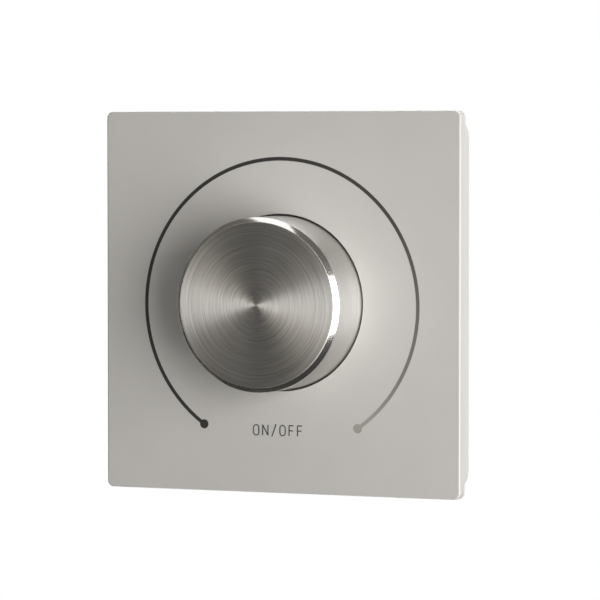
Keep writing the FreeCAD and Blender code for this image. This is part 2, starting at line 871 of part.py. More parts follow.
def support_frame():
    """The moulded frame that is screwed to the wall box and carries everything else."""
    body = new_body("support_frame")
    width = size.plate_width - 2 * size.frame_inset
    height = size.plate_height - 2 * size.frame_inset
    pad(body, "Block", frame_front, 0, lambda s: rounded(s, width, height, size.frame_corner))
    pocket(body, "Hollow", frame_front, floor_front,
           lambda s: rounded(s, width - 2 * size.frame_wall, height - 2 * size.frame_wall,
                             size.frame_corner - size.frame_wall))
    ring_inner = hole_radius + size.ring_rib_gap
    ring_outer = ring_inner + size.collar_wall
    pad(body, "RingRib", floor_front - size.ring_rib_height, floor_front + size.embed,
        lambda s: (circle(s, 0, 0, ring_inner), circle(s, 0, 0, ring_outer)))
    for side in (-1, 1):
        middle = side * size.slot_spacing / 2
        pad(body, "SlotLand%d" % (side + 1), floor_front - size.slot_land_height,
            floor_front + size.embed,
            lambda s: long_hole(s, middle, 0, size.slot_length + 2 * size.slot_land,
                                size.slot_width + 2 * size.slot_land))
        pocket(body, "Slot%d" % (side + 1), floor_front - size.slot_land_height, 0,
               lambda s: long_hole(s, middle, 0, size.slot_length, size.slot_width))
    hook_high = size.plate_height / 2 - size.plate_wall - size.hook_inset + size.hook_gap
    hook_low = hook_high - size.hook_thick - 2 * size.hook_gap
    window_width = size.hook_width + 4 * size.hook_gap
    ledge_back = -(size.hook_short + size.barb_lead + size.barb_length + size.hook_gap)
    for side in (-1, 1):
        for up in (-1, 1):
            middle = side * size.hook_place
            window = (up * (hook_high + hook_low) / 2, hook_high - hook_low)
            recess_low = hook_low - size.hook_barb - size.hook_gap
            recess = (up * (hook_high + recess_low) / 2, hook_high - recess_low)
            name = "%d%d" % (side + 1, up + 1)
            pocket(body, "Window" + name, floor_front, 0,
                   lambda s: centred(s, middle, window[0], window_width, window[1]))
            pocket(body, "Ledge" + name, ledge_back, 0,
                   lambda s: centred(s, middle, recess[0], window_width, recess[1]))
    groove_outer = 2 * (outer_half + size.groove_gap)
    groove_inner = 2 * (inner_half - size.groove_gap)
    pocket(body, "RimGroove", -size.groove_depth, 0,
           lambda s: (rounded(s, groove_outer, groove_outer, size.housing_corner),
                      centred(s, 0, 0, groove_inner, groove_inner)))
    for index, (x, z) in enumerate(housing_screw_places):
        pocket(body, "ScrewHole%d" % index, floor_front, 0,
               lambda s: circle(s, x, z, size.screw_radius + size.screw_gap))
    pocket(body, "BushingHole", floor_front, 0,
           lambda s: circle(s, 0, 0, size.bushing_radius + size.bushing_gap))
    return body


def knob_shell():
    """A cap turned from aluminium, with a broad chamfer round its face."""
    body = new_body("knob_shell")
    radius = size.knob_radius
    bore = radius - size.knob_wall
    turn(body, "Cap", [
        (0, knob_front),
        (radius - size.knob_chamfer, knob_front),
        (radius, knob_front + size.knob_chamfer),
        (radius, knob_back),
        (bore, knob_back),
        (bore, shell_inside),
        (0, shell_inside),
    ])
    return body


def knob_core():
    """The moulded insert: web, outer ring, six ribs and a hub with a D-shaped bore."""
    body = new_body("knob_core")
    outer = size.knob_radius - size.knob_wall - size.core_gap
    inner = outer - size.core_wall
    hub = size.shaft_radius + size.hub_wall
    core_back = shell_inside + size.core_depth
    turn(body, "Disc", [
        (0, shell_inside),
        (outer, shell_inside),
        (outer, core_back),
        (inner, core_back),
        (inner, core_inside),
        (hub, core_inside),
        (hub, hub_back),
        (0, hub_back),
    ])
    rib_length = inner - hub + 2 * size.embed
    rib = pad(body, "Rib", core_inside - size.embed, hub_back - size.core_rib_short,
              lambda s: centred(s, (inner + hub) / 2, 0, rib_length, size.core_rib))
    polar(body, "Ribs", rib, core_ribs)
    pocket(body, "Bore", core_inside, hub_back,
           lambda s: flatted_circle(s, size.shaft_radius + size.shaft_clearance,
                                    size.shaft_flat + size.shaft_clearance))
    return body


def open_ring(name, front, back, inner, outer, gap):
    """A flat spring ring round the Y axis, open at the bottom by gap."""
    body = new_body(name)
    turn(body, "Ring", [(inner, front), (outer, front), (outer, back), (inner, back)])
    pocket(body, "Gap", front, back, lambda s: rectangle(s, -gap / 2, gap / 2, -outer, 0))
    return body


def hub_ring():
    inner = size.shaft_radius + size.hub_wall
    back = hub_back - size.hub_ring_inset
    return open_ring("hub_ring", back - size.hub_ring_width, back,
                     inner, inner + size.hub_ring_thick, size.shaft_radius)


def pot_shaft():
    """The shaft: a flat for the knob in front, and one for the wiper at its tail."""
    body = new_body("pot_shaft")
    radius = size.shaft_radius
    groove = radius - size.clip_groove
    lead = size.shaft_lead
    turn(body, "Rod", [
        (0, shaft_front),
        (radius - lead, shaft_front),
        (radius, shaft_front + lead),
        (radius, clip_front),
        (groove, clip_front),
        (groove, clip_back),
        (radius, clip_back),
        (radius, shaft_back),
        (0, shaft_back),
    ])
    pocket(body, "KnobFlat", shaft_front, hub_back,
           lambda s: rectangle(s, -radius, radius, size.shaft_flat, radius))
    pocket(body, "WiperFlat", clip_back + size.clip_land, shaft_back,
           lambda s: rectangle(s, -radius, radius, size.shaft_tail_flat, radius))
    return body


def shaft_clip():
    return open_ring("shaft_clip", clip_front, clip_back, size.shaft_radius - size.clip_groove,
                     size.clip_radius, size.clip_mouth)


def pot_bushing():
    """The turned bushing: it is riveted into the case and passes through the frame."""
    body = new_body("pot_bushing")
    bore = size.shaft_radius + size.shaft_clearance
    lead = size.bushing_chamfer
    turn(body, "Sleeve", [
        (bore, bushing_front),
        (size.bushing_radius - lead, bushing_front),
        (size.bushing_radius, bushing_front + lead),
        (size.bushing_radius, size.pot_wall),
        (size.bushing_flange, size.pot_wall),
        (size.bushing_flange, flange_back),
        (bore, flange_back),
    ])
    return body


def lock_washer():
    """A washer with teeth that reach inwards from its bore."""
    body = new_body("lock_washer")
    inner = size.bushing_radius + size.washer_gap
    tooth_end = inner - size.tooth_reach
    turn(body, "Ring", [
        (inner, washer_front),
        (size.washer_radius, washer_front),
        (size.washer_radius, floor_front),
        (inner, floor_front),
    ])
    tooth = pad(body, "Tooth", washer_front, floor_front,
                lambda s: rectangle(s, tooth_end, inner + size.embed,
                                    -size.tooth_width / 2, size.tooth_width / 2))
    polar(body, "Teeth", tooth, washer_teeth)
    return body


def hexagon(sketch, flats):
    """A hexagon round the origin with two corners on the sketch's first axis."""
    corner = flats / root(as_length(3))
    points = []
    for side in range(6):
        angle = as_length(60 * side)
        points.append((corner * cosine(angle), corner * sine(angle)))
    polygon(sketch, points)


def pot_nut():
    """A hexagon nut whose front corners are turned down."""
    body = new_body("pot_nut")
    pad(body, "Hexagon", nut_front, washer_front, lambda s: hexagon(s, size.nut_flats))
    corner = size.nut_flats / root(as_length(3)) + size.nut_land
    turn(body, "Corners", [
        (size.nut_flats / 2 - size.nut_land, nut_front),
        (corner, nut_front),
        (corner, nut_front + size.nut_chamfer),
    ], kind="Groove")
    pocket(body, "Bore", nut_front, washer_front,
           lambda s: circle(s, 0, 0, size.bushing_radius))
    return body


def pot_case():
    """The cup that holds the wafer at its rim, notched for the tab, with an end stop."""
    body = new_body("pot_case")
    bore = size.pot_radius - size.pot_wall
    turn(body, "Cup", [
        (size.bushing_radius, 0),
        (size.pot_radius, 0),
        (size.pot_radius, wafer_back),
        (bore, wafer_back),
        (bore, size.pot_wall),
        (size.bushing_radius, size.pot_wall),
    ])
    stop_low = -(bore + size.embed)
    pad(body, "EndStop", size.pot_wall - size.embed, wafer_front,
        lambda s: rectangle(s, -stop_half, stop_half, stop_low, -stop_radius))
    half = size.wafer_tab_half + size.contact_slot_gap
    pocket(body, "TabNotch", wafer_front, wafer_back,
           lambda s: rectangle(s, -half, half, 0, size.pot_radius))
    return body


def track_wafer():
    """The insulating disc that carries the track, with a tab for the pins."""
    body = new_body("track_wafer")
    radius = size.pot_radius - size.pot_wall - size.shaft_clearance
    pad(body, "Disc", wafer_front, wafer_back, lambda s: circle(s, 0, 0, radius))
    half = size.wafer_tab_half
    pad(body, "Tab", wafer_front, wafer_back, lambda s: rectangle(s, -half, half, 0, tab_top))
    pocket(body, "HubHole", wafer_front, wafer_back,
           lambda s: circle(s, 0, 0, rotor_hub + size.shaft_clearance))
    return body


def carbon_track():
    """The resistance track printed on the wafer, open at the bottom."""
    body = new_body("carbon_track")
    drop = as_length(0)
    pad(body, "Band", track_front, wafer_front,
        lambda s: arc_band(s, drop, track_inner, track_outer, size.track_open_angle))
    return body


def pot_pin(column):
    """A pin that is riveted to the wafer's tab and soldered to the board."""
    body = new_body("pot_pin_%d" % column)
    x = (column - 1) * size.pin_pitch
    foot = size.pin_foot
    foot_z = pin_z - (foot - size.pin_thick) / 2
    pad(body, "Foot", wafer_back, wafer_back + size.pin_foot_thick,
        lambda s: centred(s, x, foot_z, foot, foot))
    pad(body, "Leg", wafer_back, lead_end,
        lambda s: centred(s, x, pin_z, size.pin_width, size.pin_thick))
    return body


def wiper_disc():
    """The rotor: its hub runs in the wafer, and a lug meets the stop at each end."""
    body = new_body("wiper_disc")
    hub_end = wafer_back - size.rotor_hub_gap
    turn(body, "Disc", [
        (0, rotor_front),
        (rotor_radius, rotor_front),
        (rotor_radius, rotor_back),
        (rotor_hub, rotor_back),
        (rotor_hub, hub_end),
        (0, hub_end),
    ])
    lug_low = rotor_radius - 2 * size.embed
    lug_high = rotor_radius + size.stop_height
    pad(body, "StopLug", rotor_front, rotor_back,
        lambda s: rectangle(s, -lug_half, lug_half, lug_low, lug_high))
    pocket(body, "Bore", rotor_front, hub_end,
           lambda s: flatted_circle(s, size.shaft_radius + size.shaft_clearance,
                                    size.shaft_tail_flat + size.shaft_clearance))
    return body


def wiper_contact():
    """A springy ring on the disc whose finger ends just over the track."""
    body = new_body("wiper_contact")
    middle = (track_inner + track_outer) / 2
    back = rotor_back + size.contact_thick
    inner = rotor_hub + size.shaft_clearance
    outer = track_inner - size.contact_lift
    half = size.finger_width / 2
    turn(body, "Ring", [(inner, rotor_back), (outer, rotor_back), (outer, back), (inner, back)])
    pad(body, "Finger", rotor_back, back,
        lambda s: rectangle(s, -half, half, inner + size.embed, track_outer))
    pad(body, "Tip", rotor_back, track_front - size.contact_lift,
        lambda s: circle(s, 0, middle, size.finger_tip))
    return body


def switch_cover():
    """The front wall of the push switch, with the hole for the plunger."""
    body = new_body("switch_cover")
    pad(body, "Plate", wafer_back, cover_back,
        lambda s: centred(s, 0, 0, size.switch_width, size.switch_height))
    pocket(body, "Hole", wafer_back, cover_back,
           lambda s: circle(s, 0, 0, size.shaft_radius + size.nose_gap))
    return body


def switch_case():
    """The box of the push switch, seated on the board, with two slots for the contacts."""
    body = new_body("switch_case")
    pad(body, "Box", cover_back, board_front,
        lambda s: centred(s, 0, 0, size.switch_width, size.switch_height))
    pocket(body, "Room", cover_back, switch_floor,
           lambda s: centred(s, 0, 0, size.switch_width - 2 * size.switch_wall,
                             size.switch_height - 2 * size.switch_wall))
    slot_width = size.contact_leg + 2 * size.contact_slot_gap
    slot_height = size.contact_leg_thick + 2 * size.contact_slot_gap
    for side in (-1, 1):
        pocket(body, "Slot%d" % (side + 1), switch_floor, board_front,
               lambda s: centred(s, side * fixed_x, fixed_z, slot_width, slot_height))
    return body


def switch_contact(side):
    """A fixed contact with its leg through the case and the board."""
    body = new_body("switch_contact_%d" % (side + 1))
    pad(body, "Face", fixed_front, switch_floor,
        lambda s: centred(s, side * fixed_x, fixed_z, size.contact_width, size.bridge_height))
    pad(body, "Leg", fixed_front, lead_end,
        lambda s: centred(s, side * fixed_x, fixed_z, size.contact_leg,
                          size.contact_leg_thick))
    return body


def switch_plunger():
    """The carriage that the shaft pushes, with a round nose and a seat for the spring."""
    body = new_body("switch_plunger")
    pad(body, "Carriage", block_front, block_back,
        lambda s: centred(s, 0, 0, size.plunger_width, size.plunger_height))
    pad(body, "Nose", plunger_front, block_front + size.embed,
        lambda s: circle(s, 0, 0, size.shaft_radius))
    seat_radius = size.spring_radius + size.spring_wire / 2 + size.spring_gap
    pocket(body, "Seat", spring_front, block_back, lambda s: circle(s, 0, 0, seat_radius))
    return body


def moving_contact():
    """The bridge that the carriage presses onto the two fixed contacts."""
    body = new_body("moving_contact")
    low = -(size.plunger_height / 2 + size.bridge_height)
    pad(body, "Bar", bridge_back - size.bridge_thick, bridge_back,
        lambda s: rectangle(s, -size.bridge_half, size.bridge_half, low,
                            -size.plunger_height / 2))
    return body


def switch_spring():
    """The return spring, wound round the Y axis with ground ends left plain."""
    body = new_body("switch_spring")
    wire = size.spring_wire / 2
    start = spring_front + wire
    coil = body.newObject("PartDesign::AdditiveHelix", "Coil")
    sketch = new_sketch(body, "Coil", "XY_Plane", 0,
                        lambda s: circle(s, size.spring_radius, start, wire))
    coil.Profile = sketch
    coil.ReferenceAxis = (sketch, ["V_Axis"])
    coil.Mode = "height-turns-angle"
    bind(coil, "Height", switch_floor - spring_front - 2 * wire)
    coil.Turns = spring_turns
    return body


def main_board():
    """The circuit board with cut corners and a hole for every lead and screw."""
    body = new_body("main_board")
    half = board_half
    cut = board_corner
    pad(body, "Plate", board_front, board_back, lambda s: polygon(s, [
        (-half, board_low),
        (half, board_low),
        (half, half - cut),
        (half - cut, half),
        (-half + cut, half),
        (-half, half - cut),
    ]))
    for index, (x, z) in enumerate(board_screw_places):
        pocket(body, "ScrewHole%d" % index, board_front, board_back,
               lambda s: circle(s, x, z, size.screw_radius + size.screw_gap))
    gap = size.lead_hole_gap
    holes = [(x, tail_z, size.bar_tail_width / 2 + gap) for x in pole_places]
    holes += [(column * size.pin_pitch, pin_z, size.pin_width / 2 + gap) for column in (-1, 0, 1)]
    holes += [(side * fixed_x, fixed_z, size.contact_leg / 2 + gap) for side in (-1, 1)]
    holes += [(x, z, size.triac_lead / 2 + gap) for x, z in triac_lead_places]
    round_leads = film_leads + timing_leads + resistor_leads
    holes += [(x, z, size.lead_radius + gap) for x, z in round_leads]
    for index, (x, z, radius) in enumerate(holes):
        pocket(body, "LeadHole%d" % index, board_front, board_back,
               lambda s: circle(s, x, z, radius))
    return body


def screw_outline(length):
    """Half the outline of a pan-head screw, as distances from and along its axis."""
    edge = size.screw_edge
    return [
        (0, -size.screw_head_height),
        (size.screw_head - edge, -size.screw_head_height),
        (size.screw_head, edge - size.screw_head_height),
        (size.screw_head, 0),
        (size.screw_radius, 0),
        (size.screw_radius, length - edge),
        (size.screw_radius - edge, length),
        (0, length),
    ]


def pan_screw(name, head_back, x, z, length):
    """A pan-head screw along the Y axis; its head lies in front of y = head_back."""
    body = new_body(name)
    head_front = -size.screw_head_height
    turn(body, "Screw", screw_outline(length))
    slot = pocket(body, "Slot", head_front, head_front + size.screw_slot_depth,
                  lambda s: centred(s, 0, 0, size.screw_cross, size.screw_slot))
    polar(body, "Cross", slot, 4)
    place(body, x, head_back, z)
    return body


def housing_screws():
    bodies = []
    for index, (x, z) in enumerate(housing_screw_places):
        bodies.append(pan_screw("housing_screw_%d" % index, floor_front, x, z, size.screw_length))
    return group("housing_screws", bodies)


def board_screws():
    bodies = []
    length = size.board_thick + size.board_post - size.embed
    for index, (x, z) in enumerate(board_screw_places):
        bodies.append(pan_screw("board_screw_%d" % index, board_front, x, z, length))
    return group("board_screws", bodies)


def rear_housing():
    """The closed box: rim, screw bosses, board posts, vents, wire windows, driver holes."""
    body = new_body("rear_housing")
    width = 2 * outer_half
    room = 2 * inner_half
    block = pad(body, "Block", 0, housing_back,
                lambda s: rounded(s, width, width, size.housing_corner))
    fillet(body, "BackEdge", block, size.housing_edge,
           lambda edge: at_height(edge, housing_back), kind="Chamfer")
    pocket(body, "Hollow", 0, housing_floor, lambda s: centred(s, 0, 0, room, room))
    pad(body, "Rim", -size.groove_depth, size.embed,
        lambda s: (rounded(s, width, width, size.housing_corner), centred(s, 0, 0, room, room)))
    for index, (x, z) in enumerate(housing_screw_places):
        across = 1 if x.value > 0 else -1
        up = 1 if z.value > 0 else -1
        wall_x = across * (inner_half + size.embed)
        wall_z = up * (inner_half + size.embed)
        reach = size.boss_inset + size.embed
        pad(body, "Boss%d" % index, 0, housing_floor + size.embed,
            lambda s: circle(s, x, z, size.boss_radius))
        pad(body, "BossFoot%d" % index, 0, housing_floor + size.embed,
            lambda s: centred(s, (x + wall_x) / 2, (z + wall_z) / 2, reach, reach))
        pocket(body, "BossBore%d" % index, 0, size.screw_length,
               lambda s: circle(s, x, z, size.screw_radius))
    for index, (x, z) in enumerate(board_screw_places):
        pad(body, "Post%d" % index, board_back, housing_floor + size.embed,
            lambda s: circle(s, x, z, size.board_post_radius))
        pocket(body, "PostBore%d" % index, board_back, housing_floor,
               lambda s: circle(s, x, z, size.screw_radius))
    for index, x in enumerate(pole_places):
        window = size.window_half
        pocket_up(body, "WireWindow%d" % index, -outer_half, -inner_half,
                  lambda s: centred(s, x, (way_low + bar_front) / 2, 2 * window, 2 * window))
        pocket(body, "DriverHole%d" % index, housing_floor, housing_back,
               lambda s: circle(s, x, clamp_z, size.clamp_head + size.clamp_gap))
    span = (vents - 1) * size.vent_pitch
    back_vent = pocket(body, "BackVent", housing_floor, housing_back,
                       lambda s: centred(s, -span / 2, size.vent_rise, size.vent_width,
                                         size.vent_length))
    row(body, "BackVents", back_vent, "X_Axis", span, vents)
    vent_y = housing_floor / 2
    top_vent = pocket_up(body, "TopVent", inner_half, outer_half,
                         lambda s: centred(s, triac_x - span / 2, vent_y, size.vent_width,
                                           size.vent_length))
    row(body, "TopVents", top_vent, "X_Axis", span, vents)
    return body


def choke_core():
    """The ferrite drum of the choke, standing on the board."""
    body = new_body("choke_core")
    radius = size.choke_radius
    web = size.choke_web
    flange = size.choke_flange
    height = size.choke_height
    turn(body, "Drum", [
        (size.choke_bore, -height),
        (radius, -height),
        (radius, flange - height),
        (web, flange - height),
        (web, -flange),
        (radius, -flange),
        (radius, 0),
        (size.choke_bore, 0),
    ])
    place(body, -choke_place, board_front, choke_place)
    return body


def choke_winding():
    """The winding: its outer turns show as ridges between the flanges."""
    body = new_body("choke_winding")
    ridge = size.choke_radius - size.choke_wire
    valley = ridge - size.choke_wire / 2
    low = size.choke_flange - size.choke_height
    pitch = (-size.choke_flange - low) / winding_turns
    outline = [(size.choke_web, low)]
    for step in range(winding_turns):
        start = low + step * pitch
        outline.append((valley, start))
        outline.append((ridge, start + pitch / 4))
        outline.append((ridge, start + 3 * pitch / 4))
    outline.append((valley, -size.choke_flange))
    outline.append((size.choke_web, -size.choke_flange))
    turn(body, "Layers", outline)
    place(body, -choke_place, board_front, choke_place)
    return body


def round_leads(body, front, places):
    """Round leads from y = front through the board."""
    for index, (x, z) in enumerate(places):
        pad(body, "Lead%d" % index, front, lead_end, lambda s: circle(s, x, z, size.lead_radius))


def film_capacitor():
    """A moulded box capacitor that stands on the board."""
    body = new_body("film_capacitor")
    top = board_front - size.film_height
    half = size.film_thick / 2
    box = pad(body, "Box", top, board_front,
              lambda s: rectangle(s, film_x - half, film_x + half, film_low, film_high))
    fillet(body, "Edges", box, size.film_edge,
           lambda edge: runs_back(edge) or at_height(edge, top))
    round_leads(body, board_front - size.embed, film_leads)
    return body


def timing_capacitor():
    """A small can with a bead near its foot."""
    body = new_body("timing_capacitor")
    radius = size.timing_radius
    edge = size.timing_edge
    bead = 3 * edge
    turn(body, "Can", [
        (0, -size.timing_height),
        (radius - edge, -size.timing_height),
        (radius, edge - size.timing_height),
        (radius, -bead - 2 * edge),
        (radius - edge, -bead - edge),
        (radius, -bead),
        (radius, 0),
        (0, 0),
    ])
    for side in (-1, 1):
        pad(body, "Lead%d" % (side + 1), -size.embed, lead_end - board_front,
            lambda s: circle(s, side * size.timing_pitch / 2, 0, size.lead_radius))
    place(body, timing_x, board_front, timing_z)
    return body


def gate_resistor(index):
    """An axial resistor with end bulges, its leads bent down through the board."""
    body = new_body("gate_resistor_%d" % index)
    radius = size.resistor_radius
    waist = radius - size.resistor_waist
    half = size.resistor_length / 2
    outer = half - 2 * size.resistor_waist
    inner = half / 2
    turn_up(body, "Barrel", [
        (0, -half),
        (waist, -half),
        (radius, -outer),
        (radius, -inner),
        (waist, size.resistor_waist - inner),
        (waist, inner - size.resistor_waist),
        (radius, inner),
        (radius, outer),
        (waist, half),
        (0, half),
    ])
    axis_y = board_front - radius - size.resistor_lift
    pad_up(body, "Lead", -resistor_reach, resistor_reach,
           lambda s: circle(s, 0, 0, size.lead_radius))
    for side in (-1, 1):
        pad(body, "Leg%d" % (side + 1), 0, lead_end - axis_y,
            lambda s: circle(s, 0, side * resistor_reach, size.lead_radius))
    place(body, resistor_x - index * size.resistor_pitch, axis_y, resistor_z)
    return body


def gate_resistors():
    return group("gate_resistors", [gate_resistor(0), gate_resistor(1)])


def triac_package():
    """The moulded body of the power switch, standing upright on the board."""
    body = new_body("triac_package")
    half = size.triac_width / 2
    pad(body, "Body", triac_back - size.triac_body, triac_back,
        lambda s: rectangle(s, triac_x - half, triac_x + half, triac_low, tab_low))
    return body


def triac_tab():
    """The metal tab behind the package, with its screw hole."""
    body = new_body("triac_tab")
    half = size.triac_width / 2
    pad(body, "Tab", tab_front, triac_back,
        lambda s: rectangle(s, triac_x - half, triac_x + half, tab_low, sink_low))
    pocket_up(body, "Hole", tab_low, sink_low,
              lambda s: circle(s, triac_x, sink_screw_y, size.tab_hole))
    return body


def triac_lead(index):
    """A flat lead from the package through the board."""
    body = new_body("triac_lead_%d" % index)
    x, z = triac_lead_places[index]
    pad(body, "Leg", triac_back, lead_end,
        lambda s: centred(s, x, z, size.triac_lead, size.triac_lead_thick))
    return body


def triac_leads():
    return group("triac_leads", [triac_lead(index) for index in range(3)])


def heat_sink():
    """An aluminium section that stands on the board, with four fins."""
    body = new_body("heat_sink")
    first = sink_right - size.sink_fin
    pad(body, "Base", tab_front, board_front,
        lambda s: rectangle(s, -size.sink_left, sink_right, sink_low, fin_low))
    fin = pad(body, "Fin", tab_front, board_front,
              lambda s: rectangle(s, first, sink_right, fin_low - size.embed, fin_high))
    pattern = row(body, "Fins", fin, "X_Axis", (sink_fins - 1) * size.sink_pitch, sink_fins)
    pattern.Reversed = True
    pocket_up(body, "Hole", sink_low, fin_low,
              lambda s: circle(s, triac_x, sink_screw_y, size.screw_radius))
    return body


def heat_sink_screw():
    """The screw that clamps the tab to the heat sink, along the Z axis."""
    body = new_body("heat_sink_screw")
    turn_up(body, "Screw", screw_outline(size.tab_thick + 2 * size.sink_thick))
    place(body, triac_x, sink_screw_y, tab_low)
    return body


def fuse_tube():
    """The glass tube of the fuse, open inside."""
    body = new_body("fuse_tube")
    outer = size.fuse_radius
    inner = outer - size.fuse_glass
    half = fuse_length / 2 - size.fuse_cap_wall
    turn_up(body, "Tube", [(inner, -half), (outer, -half), (outer, half), (inner, half)])
    place(body, fuse_x, fuse_y, fuse_z)
    return body


def fuse_cap(end):
    """A metal cup over one end of the tube."""
    body = new_body("fuse_cap_%d" % (end + 1))
    inner = size.fuse_radius
    outer = inner + size.fuse_cap_wall
    half = fuse_length / 2
    turn_up(body, "Cap", [
        (0, end * half),
        (outer, end * half),
        (outer, end * (half - size.fuse_cap_length)),
        (inner, end * (half - size.fuse_cap_length)),
        (inner, end * (half - size.fuse_cap_wall)),
        (0, end * (half - size.fuse_cap_wall)),
    ])
    place(body, fuse_x, fuse_y, fuse_z)
    return body


def fuse_caps():
    return group("fuse_caps", [fuse_cap(-1), fuse_cap(1)])


def fuse_clip(end):
    """A sheet clip: a foot on the board and two springs that hold a cap."""
    body = new_body("fuse_clip_%d" % (end + 1))
    near = size.fuse_radius + size.fuse_cap_wall
    far = near + size.clip_sheet
    foot = board_front - fuse_y
    flare = size.clip_flare
    bend = -size.fuse_radius / 2
    tip = bend - 2 * flare
    half = size.fuse_cap_length / 2 - size.clip_sheet
    pad_up(body, "Clip", -half, half, lambda s: polygon(s, [
        (-far, foot),
        (-far, bend),
        (-far - flare, tip + size.embed),
        (-near - flare, tip),
        (-near, bend),
        (-near, foot - size.clip_sheet),
        (near, foot - size.clip_sheet),
        (near, bend),
        (near + flare, tip),
        (far + flare, tip + size.embed),
        (far, bend),
        (far, foot),
    ]))
    place(body, fuse_x, fuse_y, fuse_z + end * (fuse_length - size.fuse_cap_length) / 2)
    return body


def fuse_clips():
    return group("fuse_clips", [fuse_clip(-1), fuse_clip(1)])


def terminal_block():
    """The moulded block with a cell for each cage, seated in the housing's foot."""
    body = new_body("terminal_block")
    half = size.pole_pitch + size.pole_half + size.block_side
    pad(body, "Block", size.block_front, housing_floor,
        lambda s: rectangle(s, -half, half, cell_low, block_top))
    for index, x in enumerate(pole_places):
        cell_front = cage_bottom - size.cage_gap
        pocket_up(body, "Cell%d" % index, cell_low, cell_high,
                  lambda s: rectangle(s, x - size.pole_half, x + size.pole_half,
                                      cell_front, cell_back))
        pocket(body, "HeadHole%d" % index, cell_back, housing_floor,
               lambda s: circle(s, x, clamp_z, size.clamp_head + size.clamp_gap))
        pocket_up(body, "BarSlot%d" % index, cell_high, block_top,
                  lambda s: centred(s, x, (bar_front + bar_back) / 2, bar_width, size.bar_thick))
    return body


def terminal_bar(index):
    """A bar that lies inside a cage, with a tail bent back to the board."""
    body = new_body("terminal_bar_%d" % index)
    x = pole_places[index]
    front_end = clamp_z - cage_half_length
    pad_up(body, "Bar", front_end, tail_z + size.bar_tail / 2,
           lambda s: centred(s, x, (bar_front + bar_back) / 2, bar_width, size.bar_thick))
    pad(body, "Tail", bar_front, lead_end,
        lambda s: centred(s, x, tail_z, size.bar_tail_width, size.bar_tail))
    return body


def terminal_bars():
    return group("terminal_bars", [terminal_bar(index) for index in range(3)])


def terminal_cage(index):
    """A brass cage, open along the wire, that its screw raises against the bar."""
    body = new_body("terminal_cage_%d" % (index + 1))
    low = clamp_z - cage_half_length
    high = clamp_z + cage_half_length
    inner = cage_inner
    pad_up(body, "Ring", low, high,
           lambda s: rectangle(s, -cage_half_width, cage_half_width, cage_bottom, cage_top))
    pocket_up(body, "Way", low, high, lambda s: rectangle(s, -inner, inner, way_low, cage_roof))
    pocket(body, "ScrewHole", cage_roof, cage_top,
           lambda s: circle(s, 0, clamp_z, size.clamp_radius + size.shaft_clearance))
    place(body, pole_places[index])
    return body


def terminal_screw(index):
    """A slotted clamp screw whose tip bears on the bar."""
    body = new_body("terminal_screw_%d" % (index + 1))
    head_back = clamp_head_front + size.clamp_head_height
    turn(body, "Screw", [
        (0, clamp_tip),
        (size.clamp_radius - size.clamp_edge, clamp_tip),
        (size.clamp_radius, clamp_tip + size.clamp_edge),
        (size.clamp_radius, clamp_head_front),
        (size.clamp_head, clamp_head_front),
        (size.clamp_head, head_back - size.clamp_edge),
        (size.clamp_head - size.clamp_edge, head_back),
        (0, head_back),
    ])
    pocket(body, "Slot", head_back - size.clamp_slot_depth, head_back,
           lambda s: centred(s, 0, 0, 2 * size.clamp_head, size.clamp_slot))
    place(body, pole_places[index], 0, clamp_z)
    return body


def pot_terminals():
    return group("pot_terminals", [pot_pin(column) for column in range(3)])


def switch_contacts():
    return group("switch_contacts", [switch_contact(side) for side in (-1, 1)])


def build_all():
    makers = [
        front_plate, support_frame, knob_shell, knob_core, hub_ring, pot_shaft, shaft_clip,
        pot_bushing, lock_washer, pot_nut, pot_case, track_wafer, carbon_track, pot_terminals,
        wiper_disc, wiper_contact, switch_cover, switch_case, switch_contacts, switch_plunger,
        moving_contact, switch_spring, main_board, board_screws, housing_screws, rear_housing,
        choke_core, choke_winding, film_capacitor, timing_capacitor, gate_resistors,
        triac_package, triac_tab, triac_leads, heat_sink, heat_sink_screw, fuse_tube, fuse_caps,
        fuse_clips, terminal_block, terminal_bars,
    ]
    pieces = [maker() for maker in makers]
    for index in range(3):
        pieces.append(terminal_cage(index))
        pieces.append(terminal_screw(index))
    return pieces


def check(pieces):
    """Stop if a feature failed, a cut removed nothing or a piece has no sound shape."""
    failed = [item for item in doc.Objects if "Invalid" in item.State or "Error" in item.State]
    faults = ["%s of %s failed" % (item.Label, owner(item)) for item in failed]
    for item in doc.Objects:
        if item.TypeId in ("PartDesign::Pocket", "PartDesign::Groove") and not failed:
            removed = item.BaseFeature.Shape.Volume - item.Shape.Volume
            if removed < 1e-3:
                faults.append("%s of %s removes nothing" % (item.Label, owner(item)))
    for piece in pieces:
        if piece.Shape.isNull() or not piece.Shape.isValid() or not piece.Shape.Solids:
            faults.append("%s has no sound shape" % piece.Label)
    if faults:
        raise RuntimeError("; ".join(faults))


def owner(item):
    """The label of the body that a feature belongs to."""
    parents = [parent.Label for parent in item.InList if parent.TypeId == "PartDesign::Body"]
    return parents[0] if parents else "the document"


def write(pieces):
    os.makedirs("parts", exist_ok=True)
    for piece in pieces:
        piece.Shape.exportStep(os.path.join("parts", piece.Label + ".step"))


pieces = build_all()
doc.recompute()
check(pieces)
write(pieces)
print("%d pieces" % len(pieces))
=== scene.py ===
"""A rotary dimmer switch with a spun-brushed knob on a square silver plate.

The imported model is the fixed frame. X points right, Y into the wall and Z up, in metres.
The knob's axis is the Y axis. Sizes below are written in millimetres times MM.
"""

import math

import bmesh
import bpy
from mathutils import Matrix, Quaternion, Vector


